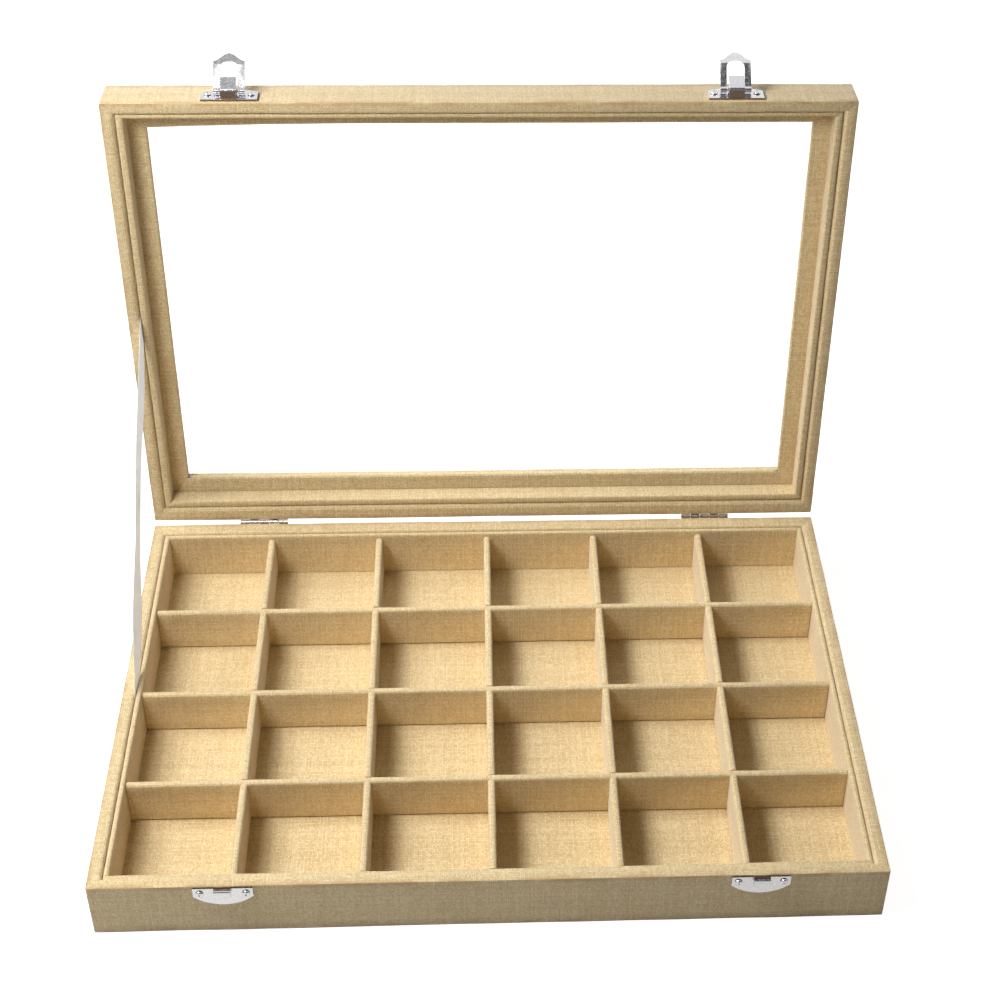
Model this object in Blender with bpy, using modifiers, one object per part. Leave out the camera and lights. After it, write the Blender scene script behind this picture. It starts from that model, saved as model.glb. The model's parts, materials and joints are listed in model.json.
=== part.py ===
"""Linen-covered display tray of 24 compartments with a glazed, hinged lid, shown with the lid open.

Metres, +Z up. The tray rests on z = 0 with its middle at the origin, its latches towards -Y.
The lid's pieces are drawn where they lie when it is shut, and an empty on the hinge axis opens it.
"""

import bmesh
import bpy
from math import cos, pi, radians, sin, sqrt
from mathutils import Matrix, Vector

# Outside of the tray, over the cloth
TRAY_WIDTH = 0.350
TRAY_DEPTH = 0.240
BASE_HEIGHT = 0.0300
LID_HEIGHT = 0.0197
LID_OPENING = radians(93)
HASP_OPENING = radians(126)

# Boards, over the cloth
SIDE_WALL = 0.0060
FRONT_WALL = 0.0060
BASE_REAR_WALL = 0.0071
LID_REAR_RAIL = 0.0076
EDGE_ROUNDING = 0.0010
BASE_LINER = 0.0023
LID_LINER = 0.0034
LID_FRONT_LINER = 0.0020
LINER_ROUNDING = 0.0009
LINER_DROP = 0.0002
PANEL = 0.0023
FLOOR_LINING = 0.0010

# Compartments: the middles of the strips, set by hand and so not quite even
SHORT_STRIPS_AT_X = (-0.1128, -0.0563, 0.0006, 0.0569, 0.1129)
LONG_STRIPS_AT_Y = (-0.0582, -0.0012, 0.0559)
DIVIDER = 0.0034
DIVIDER_DROP = 0.0026
DIVIDER_ROUNDING = 0.0012

# Lid top
TOP_FRAME = 0.0030
GLASS = 0.0020
GLASS_LAP = 0.0065
INNER_FRAME = 0.0033
WINDOW_HALF_WIDTH = 0.1561
WINDOW_FRONT = -0.1037
WINDOW_REAR = 0.0997
WINDOW_ROUNDING = 0.0015
TOP_WINDOW_SETBACK = 0.0030

# Clearances: one between touching pieces, one for a seam between covered boards
GAP = 0.0003
SEAM = 0.00035

# Butt hinges
HINGE_SPACING = 0.235
HINGE_LENGTH = 0.025
HINGE_AXIS_BEHIND = 0.0014
LEAF = 0.0007
LEAF_REACH = 0.0100
BARREL_RADIUS = 0.0011
HINGE_PIN_RADIUS = 0.0004
KNUCKLES = 5
KNUCKLE_TAB_RISE = 0.0005
KNUCKLE_TAB_INSET = 0.0001
HINGE_SCREW_SPREAD = 0.0150
HINGE_SCREW_DROP = 0.0060

# Latches
LATCH_AT_X = {"left": -0.1162, "right": 0.1180}
LATCH_SHEET = 0.0008
LATCH_PLATE_WIDTH = 0.0260
CATCH_TOP_BELOW_RIM = 0.0002
CATCH_SIDE = 0.0053
CATCH_HEIGHT = 0.0106
LID_PLATE_ABOVE_RIM = 0.0018
LID_PLATE_SIDE = 0.0082
LID_PLATE_HEIGHT = 0.0112
HASP_AXIS_ABOVE_RIM = 0.0073
HASP_AXIS_AHEAD = 0.0028
HASP_WIDTH = 0.0144
HASP_SHOULDER = 0.0139
HASP_TIP = 0.0178
HASP_FLARE_START = 0.0124
HASP_FLARE = 0.40
ARCH_WIDTH = 0.0084
ARCH_REACH = 0.0136
ARCH_CORNER = 0.0032
HASP_KNUCKLE_RADIUS = 0.0014
HASP_PIN_RADIUS = 0.0006
TONGUE_WIDTH = 0.0072
TONGUE_ROOT_ABOVE_RIM = 0.0025
TONGUE_SHELF = (0.0030, 0.0026)
TONGUE_KNEE = (0.0047, 0.0038)
TONGUE_KNEE_RADIUS = 0.0011
TONGUE_END = (0.0094, 0.0077)
WEB_INSET = 0.0003
HOOK_WIDTH = 0.0073
HOOK_FOLD_RADIUS = 0.0017
HOOK_FOLD_BELOW_TOP = 0.0006
HOOK_LENGTH = 0.0060
HOOK_TRIM_WIDTH = 0.0075
HOOK_TRIM_DEPTH = 0.0102
LATCH_SCREW_SPREAD = 0.0200
CATCH_SCREW_BELOW_RIM = 0.0034
LID_SCREW_ABOVE_RIM = 0.0070

# Screws of hinges and latches
SCREW_HEAD_RADIUS = 0.0017
SCREW_HEAD_HEIGHT = 0.0009
SCREW_SHANK_RADIUS = 0.0007
SCREW_LENGTH = 0.0048
SCREW_STEPS = 16
DOME_STEPS = 3

# Ribbon stay
RIBBON_WIDTH = 0.0100
RIBBON = 0.0004
RIBBON_FROM_AXIS = 0.1185
RIBBON_TUCK = 0.0070
RIBBON_POCKET = 0.0010

# Derived places
HALF_WIDTH = TRAY_WIDTH / 2
HALF_DEPTH = TRAY_DEPTH / 2
LID_RIM = BASE_HEIGHT + GAP
LID_TOP = LID_RIM + LID_HEIGHT
HINGE_AXIS = Vector((0, HALF_DEPTH + HINGE_AXIS_BEHIND, BASE_HEIGHT + GAP / 2))
FLOOR_LINING_BOTTOM = PANEL + GAP
FLOOR = FLOOR_LINING_BOTTOM + FLOOR_LINING
DIVIDER_BOTTOM = FLOOR + GAP
DIVIDER_TOP = BASE_HEIGHT - DIVIDER_DROP
TOP_FRAME_BOTTOM = LID_TOP - TOP_FRAME
GLASS_TOP = TOP_FRAME_BOTTOM - GAP
GLASS_BOTTOM = GLASS_TOP - GLASS
INNER_FRAME_TOP = GLASS_BOTTOM - GAP
INNER_FRAME_BOTTOM = INNER_FRAME_TOP - INNER_FRAME
HASP_AXIS_Y = -HALF_DEPTH - HASP_AXIS_AHEAD
HASP_AXIS_Z = LID_RIM + HASP_AXIS_ABOVE_RIM
PLATE_BACK = -HALF_DEPTH - GAP
PLATE_FACE = PLATE_BACK - LATCH_SHEET

SMOOTH_ANGLE = radians(40)
CUT_MARGIN = 0.001
ROUND_STEPS = 24
LATCH_ROUND_STEPS = 20
PLATE_ARC_STEPS = 16

# Colours, linear
LINEN = (0.62, 0.50, 0.32)
LINEN_SHADE = (0.55, 0.43, 0.26)
PALE_STEEL = (0.72, 0.73, 0.75)
SATIN = (0.82, 0.84, 0.88)
CLEAR_GLASS = (0.90, 0.95, 0.93)

parts = bpy.data.collections.new("display_tray")
guides = bpy.data.collections.new("cutters")


def clear_scene():
    for thing in list(bpy.data.objects):
        bpy.data.objects.remove(thing, do_unlink=True)
    bpy.context.scene.collection.children.link(parts)
    bpy.context.scene.collection.children.link(guides)


def material(name, colour, roughness, metallic=0.0):
    """One Principled material for each piece."""
    made = bpy.data.materials.new(name)
    made.use_nodes = True
    shader = made.node_tree.nodes["Principled BSDF"]
    shader.inputs["Base Color"].default_value = (*colour, 1)
    shader.inputs["Roughness"].default_value = roughness
    shader.inputs["Metallic"].default_value = metallic
    return made


def linen(name):
    return material(name + "_linen", LINEN, 0.85)


def shaded_linen(name):
    return material(name + "_linen", LINEN_SHADE, 0.85)


def nickel(name):
    return material(name + "_nickel", PALE_STEEL, 0.22, 1.0)


def add_object(name, bm, finish, collection=parts):
    """Turn an edited mesh into a named object."""
    mesh = bpy.data.meshes.new(name)
    bm.to_mesh(mesh)
    bm.free()
    made = bpy.data.objects.new(name, mesh)
    collection.objects.link(made)
    if finish:
        mesh.materials.append(finish(name))
    return made


def shade_round(thing):
    thing.data.shade_smooth()
    thing.data.set_sharp_from_angle(angle=SMOOTH_ANGLE)
    return thing


def box_mesh(low, high):
    """A box between two corners."""
    bm = bmesh.new()
    bmesh.ops.create_cube(bm, size=1)
    low, high = Vector(low), Vector(high)
    size = high - low
    bmesh.ops.scale(bm, vec=size, verts=bm.verts)
    bmesh.ops.translate(bm, vec=(low + high) / 2, verts=bm.verts)
    return bm


def round_edges(bm, radius, wanted, segments=3):
    """Round the edges whose two ends both pass the test."""
    edges = [edge for edge in bm.edges if all(wanted(vert.co) for vert in edge.verts)]
    bmesh.ops.bevel(bm, geom=edges, offset=radius, offset_type="OFFSET", segments=segments,
                    profile=0.5, affect="EDGES")


def make_guide(thing):
    thing.hide_render = True
    thing.display_type = "WIRE"


def cutter_boxes(name, boxes):
    """Several boxes that don't touch, as one cutting tool."""
    whole = bmesh.new()
    for low, high in boxes:
        piece = box_mesh(low, high)
        mesh = bpy.data.meshes.new("box")
        piece.to_mesh(mesh)
        piece.free()
        whole.from_mesh(mesh)
        bpy.data.meshes.remove(mesh)
    tool = add_object(name + "_cutter", whole, None, guides)
    make_guide(tool)
    return tool


def cylinder_mesh(centre, radius, length, axis, steps=ROUND_STEPS):
    """A cylinder about an axis, centred on a point."""
    bm = bmesh.new()
    bmesh.ops.create_cone(bm, cap_ends=True, segments=steps, radius1=radius, radius2=radius, depth=length)
    turn = Vector((0, 0, 1)).rotation_difference(Vector(axis)).to_matrix().to_4x4()
    bmesh.ops.transform(bm, matrix=Matrix.Translation(centre) @ turn, verts=bm.verts)
    return bm


def cutter_cylinder(name, centre, radius, length, axis, steps=ROUND_STEPS):
    tool = add_object(name + "_cutter", cylinder_mesh(centre, radius, length, axis, steps), None, guides)
    make_guide(tool)
    return tool


def boolean(thing, tool, operation):
    step = thing.modifiers.new(operation.lower(), "BOOLEAN")
    step.operation = operation
    step.solver = "EXACT"
    step.object = tool
    make_guide(tool)


def cut(thing, tool):
    boolean(thing, tool, "DIFFERENCE")


def join(thing, tool):
    boolean(thing, tool, "UNION")


def flat_solid(name, outline, thickness, place, finish, collection=parts):
    """A flat outline in X and Y made into a plate, then set in place by a matrix."""
    curve = bpy.data.curves.new(name, "CURVE")
    curve.dimensions = "2D"
    curve.fill_mode = "BOTH"
    curve.extrude = thickness / 2
    spline = curve.splines.new("POLY")
    spline.points.add(len(outline) - 1)
    for point, (x, y) in zip(spline.points, outline):
        point.co = (x, y, 0, 1)
    spline.use_cyclic_u = True
    drawn = bpy.data.objects.new(name + "_outline", curve)
    guides.objects.link(drawn)
    graph = bpy.context.evaluated_depsgraph_get()
    mesh = bpy.data.meshes.new_from_object(drawn.evaluated_get(graph))
    bpy.data.objects.remove(drawn, do_unlink=True)
    bm = bmesh.new()
    bm.from_mesh(mesh)
    bpy.data.meshes.remove(mesh)
    bmesh.ops.remove_doubles(bm, verts=bm.verts, dist=1e-6)
    bmesh.ops.recalc_face_normals(bm, faces=bm.faces)
    bmesh.ops.transform(bm, matrix=place, verts=bm.verts)
    return add_object(name, bm, finish, collection)


def arc(centre, radius, start, end, steps):
    """Points along an arc, angles in degrees."""
    points = []
    for step in range(steps + 1):
        angle = radians(start + (end - start) * step / steps)
        points.append((centre[0] + radius * cos(angle), centre[1] + radius * sin(angle)))
    return points


def facing_front(x, y, z):
    """Outline X runs along X, outline Y runs up, and the plate's thickness lies along Y."""
    return Matrix.Translation((x, y, z)) @ Matrix.Rotation(pi / 2, 4, "X")


def facing_side(x, y, z):
    """Outline X runs forwards, outline Y runs up, and the thickness lies along X."""
    turn = Matrix(((0, 0, -1, 0), (-1, 0, 0, 0), (0, 1, 0, 0), (0, 0, 0, 1)))
    return Matrix.Translation((x, y, z)) @ turn


def strip_outline(path, thickness):
    """The outline of a bent strip of sheet whose middle follows a path."""
    left, right = [], []
    for index, point in enumerate(path):
        before = Vector(path[max(index - 1, 0)])
        after = Vector(path[min(index + 1, len(path) - 1)])
        along = (after - before).normalized()
        across = Vector((-along.y, along.x)) * thickness / 2
        left.append(tuple(Vector(point) + across))
        right.append(tuple(Vector(point) - across))
    return left + right[::-1]


def frame_at(wall_side, wall_front, wall_rear, inset=0.0):
    """The rectangle inside walls of the given thicknesses, as X and Y limits."""
    half = HALF_WIDTH - wall_side - inset
    return (-half, half), (-HALF_DEPTH + wall_front + inset, HALF_DEPTH - wall_rear - inset)


def mitred_board(name, outer, inner, bottom, top, side, finish, rim_at_top=True, rounding=EDGE_ROUNDING):
    """One board of a four-sided frame, its ends cut along the line through the frame's corners."""
    along = 0 if side in ("front", "rear") else 1
    across = 1 - along
    inwards = 1 if side in ("front", "left") else -1
    mitre_gap = GAP / sqrt(2)
    bm = bmesh.new()
    bmesh.ops.create_cube(bm, size=2)
    for vert in bm.verts:
        rectangle = inner if vert.co[across] * inwards > 0 else outer
        low, high = rectangle[along]
        vert.co[along] = low + mitre_gap if vert.co[along] < 0 else high - mitre_gap
        vert.co[across] = rectangle[across][0 if inwards > 0 else 1]
        vert.co.z = bottom if vert.co.z < 0 else top
    rim = top if rim_at_top else bottom
    edges = [edge for edge in bm.edges
             if abs(edge.verts[0].co[along] - edge.verts[1].co[along]) > 10 * rounding
             and all(abs(vert.co.z - rim) < 1e-6 for vert in edge.verts)]
    bmesh.ops.bevel(bm, geom=edges, offset=rounding, offset_type="OFFSET", segments=3, profile=0.5,
                    affect="EDGES")
    return shade_round(add_object(name, bm, finish))


def make_base():
    """Panel, floor lining, four walls and four liners."""
    outer = frame_at(0, 0, 0)
    inner = frame_at(SIDE_WALL, FRONT_WALL, BASE_REAR_WALL)
    liner_outer = frame_at(SIDE_WALL, FRONT_WALL, BASE_REAR_WALL, SEAM)
    liner_inner = frame_at(SIDE_WALL, FRONT_WALL, BASE_REAR_WALL, SEAM + BASE_LINER)
    panel = frame_at(SIDE_WALL, FRONT_WALL, BASE_REAR_WALL, GAP)
    (left, right), (front, rear) = panel
    add_object("base_panel", box_mesh((left, front, 0), (right, rear, PANEL)), shaded_linen)
    add_object("floor_lining", box_mesh((left, front, FLOOR_LINING_BOTTOM), (right, rear, FLOOR)), linen)
    pieces = {}
    for side in ("front", "rear", "left", "right"):
        wall = mitred_board(f"base_{side}_wall", outer, inner, 0, BASE_HEIGHT, side, linen)
        mitred_board(f"base_{side}_liner", liner_outer, liner_inner, DIVIDER_BOTTOM,
                     BASE_HEIGHT - LINER_DROP, side, linen, rounding=LINER_ROUNDING)
        pieces[side] = wall
    return pieces


def make_dividers():
    """Strips halved into each other: long ones slotted from below, short ones from above."""
    (left, right), (front, rear) = frame_at(SIDE_WALL, FRONT_WALL, BASE_REAR_WALL, SEAM + BASE_LINER + GAP)
    half = DIVIDER / 2
    slot = half + GAP
    middle = (DIVIDER_BOTTOM + DIVIDER_TOP) / 2
    for number, y in enumerate(LONG_STRIPS_AT_Y, start=1):
        name = f"long_divider_{number}"
        bm = box_mesh((left, y - half, DIVIDER_BOTTOM), (right, y + half, DIVIDER_TOP))
        round_edges(bm, DIVIDER_ROUNDING, lambda co: co.z > middle)
        strip = shade_round(add_object(name, bm, shaded_linen))
        slots = [((x - slot, y - 2 * half, DIVIDER_BOTTOM - CUT_MARGIN),
                  (x + slot, y + 2 * half, middle + GAP / 2)) for x in SHORT_STRIPS_AT_X]
        cut(strip, cutter_boxes(name, slots))
    for number, x in enumerate(SHORT_STRIPS_AT_X, start=1):
        name = f"short_divider_{number}"
        bm = box_mesh((x - half, front, DIVIDER_BOTTOM), (x + half, rear, DIVIDER_TOP))
        round_edges(bm, DIVIDER_ROUNDING, lambda co: co.z > middle)
        strip = shade_round(add_object(name, bm, shaded_linen))
        slots = [((x - 2 * half, y - slot, middle - GAP / 2),
                  (x + 2 * half, y + slot, DIVIDER_TOP + CUT_MARGIN)) for y in LONG_STRIPS_AT_Y]
        cut(strip, cutter_boxes(name, slots))


def window_cutter(name, setback, bottom, top):
    """A rounded opening through a frame of the lid."""
    low = (-WINDOW_HALF_WIDTH - setback, WINDOW_FRONT - setback, bottom - CUT_MARGIN)
    high = (WINDOW_HALF_WIDTH + setback, WINDOW_REAR + setback, top + CUT_MARGIN)
    bm = box_mesh(low, high)
    upright = [edge for edge in bm.edges if abs(edge.verts[0].co.z - edge.verts[1].co.z) > CUT_MARGIN]
    bmesh.ops.bevel(bm, geom=upright, offset=WINDOW_ROUNDING, offset_type="OFFSET", segments=4,
                    profile=0.5, affect="EDGES")
    tool = add_object(name + "_window_cutter", bm, None, guides)
    make_guide(tool)
    return tool


def make_lid():
    """Four rails, four liners, the top frame, the glass and the frame that holds it."""
    outer = frame_at(0, 0, 0)
    inner = frame_at(SIDE_WALL, FRONT_WALL, LID_REAR_RAIL)
    liner_outer = frame_at(SIDE_WALL, FRONT_WALL, LID_REAR_RAIL, SEAM)
    across, (_, rear) = frame_at(SIDE_WALL, FRONT_WALL, LID_REAR_RAIL, SEAM + LID_LINER)
    liner_inner = (across, (-HALF_DEPTH + FRONT_WALL + SEAM + LID_FRONT_LINER, rear))
    pieces = {}
    for side in ("front", "rear", "left", "right"):
        pieces[f"{side}_rail"] = mitred_board(f"lid_{side}_rail", outer, inner, LID_RIM,
                                              TOP_FRAME_BOTTOM - GAP, side, linen, rim_at_top=False)
        pieces[f"{side}_liner"] = mitred_board(f"lid_{side}_liner", liner_outer, liner_inner,
                                               LID_RIM + LINER_DROP, INNER_FRAME_BOTTOM - GAP, side,
                                               linen, rim_at_top=False, rounding=LINER_ROUNDING)
    bm = box_mesh((-HALF_WIDTH, -HALF_DEPTH, TOP_FRAME_BOTTOM), (HALF_WIDTH, HALF_DEPTH, LID_TOP))
    round_edges(bm, EDGE_ROUNDING, lambda co: co.z > TOP_FRAME_BOTTOM + TOP_FRAME / 2)
    top_frame = shade_round(add_object("lid_top_frame", bm, linen))
    cut(top_frame, window_cutter("lid_top_frame", TOP_WINDOW_SETBACK, TOP_FRAME_BOTTOM, LID_TOP))
    (left, right), (front, rear) = frame_at(SIDE_WALL, FRONT_WALL, LID_REAR_RAIL, GAP)
    bm = box_mesh((left, front, INNER_FRAME_BOTTOM), (right, rear, INNER_FRAME_TOP))
    inner_frame = add_object("lid_inner_frame", bm, shaded_linen)
    cut(inner_frame, window_cutter("lid_inner_frame", 0, INNER_FRAME_BOTTOM, INNER_FRAME_TOP))
    pane_half = WINDOW_HALF_WIDTH + GLASS_LAP
    bm = box_mesh((-pane_half, WINDOW_FRONT - GLASS_LAP, GLASS_BOTTOM),
                  (pane_half, WINDOW_REAR + GLASS_LAP, GLASS_TOP))
    pane = add_object("glass_pane", bm, lambda name: material(name + "_glass", CLEAR_GLASS, 0.03))
    pieces.update(top_frame=top_frame, inner_frame=inner_frame, pane=pane)
    return pieces


def screw(name, point, outwards):
    """A small domed screw: point is under its head, and outwards is the way the head faces."""
    profile = [(0, SCREW_HEAD_HEIGHT)]
    for step in range(1, DOME_STEPS + 1):
        angle = pi / 2 * step / DOME_STEPS
        profile.append((SCREW_HEAD_RADIUS * sin(angle), SCREW_HEAD_HEIGHT * cos(angle)))
    profile += [(SCREW_SHANK_RADIUS, 0), (SCREW_SHANK_RADIUS, -SCREW_LENGTH), (0, -SCREW_LENGTH)]
    bm = bmesh.new()
    verts = [bm.verts.new((radius, 0, height)) for radius, height in profile]
    for first, second in zip(verts, verts[1:]):
        bm.edges.new((first, second))
    turned = add_object(name, bm, nickel)
    spin = turned.modifiers.new("turn", "SCREW")
    spin.steps = SCREW_STEPS
    spin.render_steps = SCREW_STEPS
    spin.use_merge_vertices = True
    spin.merge_threshold = 0.00001
    turned.location = point
    turned.rotation_mode = "QUATERNION"
    turned.rotation_quaternion = Vector((0, 0, 1)).rotation_difference(Vector(outwards))
    return turned


def screw_hole(name, thing, point, outwards, depth=SCREW_LENGTH + GAP):
    """A hole with room round a screw, from just outside its head to below its tip."""
    outwards = Vector(outwards)
    reach = CUT_MARGIN + depth
    centre = Vector(point) + outwards * (CUT_MARGIN - reach / 2)
    cut(thing, cutter_cylinder(name + "_hole", centre, SCREW_SHANK_RADIUS + GAP, reach, outwards, SCREW_STEPS))


def knuckle_spans():
    """Start and end of each hinge knuckle along the hinge, measured from its middle."""
    length = (HINGE_LENGTH - GAP * (KNUCKLES - 1)) / KNUCKLES
    start = -HINGE_LENGTH / 2
    return [(start + count * (length + GAP), start + count * (length + GAP) + length)
            for count in range(KNUCKLES)]


def hinge_leaf(name, x, upwards, spans):
    """One leaf of a butt hinge on the rear face: its plate, its share of the barrel and its bore."""
    back = HALF_DEPTH + GAP
    near = HINGE_AXIS.z + upwards * (BARREL_RADIUS + GAP)
    far = HINGE_AXIS.z + upwards * LEAF_REACH
    half = HINGE_LENGTH / 2
    bm = box_mesh((x - half, back, min(near, far)), (x + half, back + LEAF, max(near, far)))
    leaf = shade_round(add_object(name, bm, nickel))
    for number, (start, end) in enumerate(spans, start=1):
        centre = (x + (start + end) / 2, HINGE_AXIS.y, HINGE_AXIS.z)
        knuckle = cylinder_mesh(centre, BARREL_RADIUS, end - start, (1, 0, 0))
        join(leaf, shade_round(add_object(f"{name}_knuckle_{number}", knuckle, None, guides)))
        root = HINGE_AXIS.z + upwards * (BARREL_RADIUS + KNUCKLE_TAB_RISE)
        tab = box_mesh((x + start, back + KNUCKLE_TAB_INSET, min(HINGE_AXIS.z, root)),
                       (x + end, back + LEAF - KNUCKLE_TAB_INSET, max(HINGE_AXIS.z, root)))
        join(leaf, add_object(f"{name}_tab_{number}", tab, None, guides))
    cut(leaf, cutter_cylinder(name + "_bore", (x, HINGE_AXIS.y, HINGE_AXIS.z), HINGE_PIN_RADIUS + GAP,
                              HINGE_LENGTH + 2 * CUT_MARGIN, (1, 0, 0)))
    return leaf


def make_hinge(side, base_wall, lid_rail):
    """A butt hinge of two leaves and a pin, with two screws in each leaf."""
    x = HINGE_SPACING / 2 * (1 if side == "right" else -1)
    spans = knuckle_spans()
    moving = []
    base_leaf = hinge_leaf(f"{side}_hinge_base_leaf", x, -1, spans[0::2])
    lid_leaf = hinge_leaf(f"{side}_hinge_lid_leaf", x, 1, spans[1::2])
    pin = cylinder_mesh((x, HINGE_AXIS.y, HINGE_AXIS.z), HINGE_PIN_RADIUS, HINGE_LENGTH, (1, 0, 0))
    shade_round(add_object(f"{side}_hinge_pin", pin, nickel))
    moving.append(lid_leaf)
    face = HALF_DEPTH + GAP + LEAF + GAP
    for leaf, board, upwards, kind in ((base_leaf, base_wall, -1, "base"), (lid_leaf, lid_rail, 1, "lid")):
        for number, step in enumerate((-1, 1), start=1):
            name = f"{side}_hinge_{kind}_screw_{number}"
            point = (x + step * HINGE_SCREW_SPREAD / 2, face, HINGE_AXIS.z + upwards * HINGE_SCREW_DROP)
            made = screw(name, point, (0, 1, 0))
            screw_hole(name + "_leaf", leaf, point, (0, 1, 0))
            screw_hole(name + "_board", board, point, (0, 1, 0))
            if kind == "lid":
                moving.append(made)
    return moving


def half_moon(width, side, height, steps=PLATE_ARC_STEPS):
    """A plate's outline: a straight edge at 0, upright sides and a shallow arc at the far end."""
    half = width / 2
    rise = height - side
    radius = (half ** 2 + rise ** 2) / (2 * rise)
    centre = height - radius
    points = [(-half, 0), (half, 0)]
    for step in range(steps + 1):
        x = half - width * step / steps
        points.append((x, centre + sqrt(radius ** 2 - x ** 2)))
    return points


def flipped(outline):
    """The outline turned upside down, still running the same way round."""
    return [(x, -y) for x, y in reversed(outline)]


def rounded_arch(half, reach, corner, start, steps=6):
    """Points up one side of an arch with rounded corners and down the other."""
    points = [(half, start)]
    points += arc((half - corner, reach - corner), corner, 0, 90, steps)
    points += arc((-half + corner, reach - corner), corner, 90, 180, steps)
    points.append((-half, start))
    return points


def hasp_outline():
    """Two legs from the pin, an arched opening between them and a lip drawn to a point."""
    half = HASP_WIDTH / 2
    rise = HASP_TIP - HASP_SHOULDER
    lip = []
    for step in range(PLATE_ARC_STEPS + 1):
        x = half - HASP_WIDTH * step / PLATE_ARC_STEPS
        lip.append((x, HASP_SHOULDER + rise * (0.5 + 0.5 * cos(pi * x / half))))
    outside = [(half, 0)] + lip + [(-half, 0)]
    return flipped(outside + rounded_arch(ARCH_WIDTH / 2, ARCH_REACH, ARCH_CORNER, 0)[::-1])


def flare_lip(thing, axis_z):
    """Lean the lip of the hasp outwards past a line across it."""
    bm = bmesh.new()
    bm.from_mesh(thing.data)
    line = axis_z - HASP_FLARE_START
    bmesh.ops.bisect_plane(bm, geom=bm.verts[:] + bm.edges[:] + bm.faces[:], plane_co=(0, 0, line),
                           plane_no=(0, 0, 1))
    for vert in bm.verts:
        vert.co.y -= max(line - vert.co.z, 0) * HASP_FLARE
    bm.to_mesh(thing.data)
    bm.free()


def latch_bore(name, x):
    """The hole that runs through the rolls of both halves of a latch."""
    return cutter_cylinder(name + "_bore", (x, HASP_AXIS_Y, HASP_AXIS_Z), HASP_PIN_RADIUS + GAP,
                           HASP_WIDTH + 2 * CUT_MARGIN, (1, 0, 0), LATCH_ROUND_STEPS)


def make_hasp(name, x):
    """The swinging half of a latch: a flat plate whose legs are rolled round the pin."""
    hasp = flat_solid(name, hasp_outline(), LATCH_SHEET, facing_front(x, HASP_AXIS_Y, HASP_AXIS_Z), nickel)
    flare_lip(hasp, HASP_AXIS_Z)
    leg = (HASP_WIDTH - ARCH_WIDTH) / 2
    for number, step in enumerate((-1, 1), start=1):
        centre = (x + step * (HASP_WIDTH - leg) / 2, HASP_AXIS_Y, HASP_AXIS_Z)
        roll = cylinder_mesh(centre, HASP_KNUCKLE_RADIUS, leg, (1, 0, 0), LATCH_ROUND_STEPS)
        join(hasp, shade_round(add_object(f"{name}_roll_{number}", roll, None, guides)))
    cut(hasp, latch_bore(name, x))
    return shade_round(hasp)


def tongue_path():
    """Middle of the sprung tongue, as distance ahead of the lid's front face and height over its rim."""
    return ([(GAP + LATCH_SHEET / 2, TONGUE_ROOT_ABOVE_RIM), TONGUE_SHELF]
            + arc(TONGUE_KNEE, TONGUE_KNEE_RADIUS, -85, -40, 4) + [TONGUE_END])


def make_lid_plate(name, x):
    """The fixed half of a latch on the lid: its plate, the roll that holds the pin and a sprung tongue."""
    outline = half_moon(LATCH_PLATE_WIDTH, LID_PLATE_SIDE, LID_PLATE_HEIGHT)
    place = facing_front(x, PLATE_BACK - LATCH_SHEET / 2, LID_RIM + LID_PLATE_ABOVE_RIM)
    plate = flat_solid(name, outline, LATCH_SHEET, place, nickel)
    roll = cylinder_mesh((x, HASP_AXIS_Y, HASP_AXIS_Z), HASP_KNUCKLE_RADIUS, TONGUE_WIDTH, (1, 0, 0),
                         LATCH_ROUND_STEPS)
    join(plate, shade_round(add_object(name + "_roll", roll, None, guides)))
    half_web = TONGUE_WIDTH / 2 - GAP
    web = box_mesh((x - half_web, HASP_AXIS_Y, HASP_AXIS_Z + WEB_INSET),
                   (x + half_web, PLATE_BACK - LATCH_SHEET / 4, HASP_AXIS_Z + HASP_KNUCKLE_RADIUS - WEB_INSET))
    join(plate, add_object(name + "_web", web, None, guides))
    tongue = flat_solid(name + "_tongue", strip_outline(tongue_path(), LATCH_SHEET), TONGUE_WIDTH,
                        facing_side(x, -HALF_DEPTH, LID_RIM), None, guides)
    join(plate, tongue)
    cut(plate, latch_bore(name, x))
    return shade_round(plate)


def hook_path():
    """Middle of the hook's strip, up from the plate, over and down again."""
    radius = HOOK_FOLD_RADIUS - LATCH_SHEET / 2
    return ([(0, -HOOK_FOLD_RADIUS), (0, 0)] + arc((radius, 0), radius, 165, 15, 8)
            + [(2 * radius, 0), (2 * radius, -HOOK_LENGTH)])


def make_catch(name, x):
    """The catch plate on the base: a half-moon whose top edge is folded over into a hook."""
    top = BASE_HEIGHT - CATCH_TOP_BELOW_RIM
    middle = PLATE_BACK - LATCH_SHEET / 2
    outline = flipped(half_moon(LATCH_PLATE_WIDTH, CATCH_SIDE, CATCH_HEIGHT))
    plate = flat_solid(name, outline, LATCH_SHEET, facing_front(x, middle, top), nickel)
    hook = flat_solid(name + "_hook", strip_outline(hook_path(), LATCH_SHEET), HOOK_WIDTH,
                      facing_side(x, middle, top - HOOK_FOLD_BELOW_TOP), None, guides)
    rounded = flipped(rounded_arch(HOOK_TRIM_WIDTH / 2, ARCH_REACH - GAP, ARCH_CORNER - GAP, 0))
    limit = flat_solid(name + "_hook_end", rounded, HOOK_TRIM_DEPTH,
                       facing_front(x, middle, HASP_AXIS_Z), None, guides)
    boolean(hook, limit, "INTERSECT")
    join(plate, hook)
    return shade_round(plate)


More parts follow.
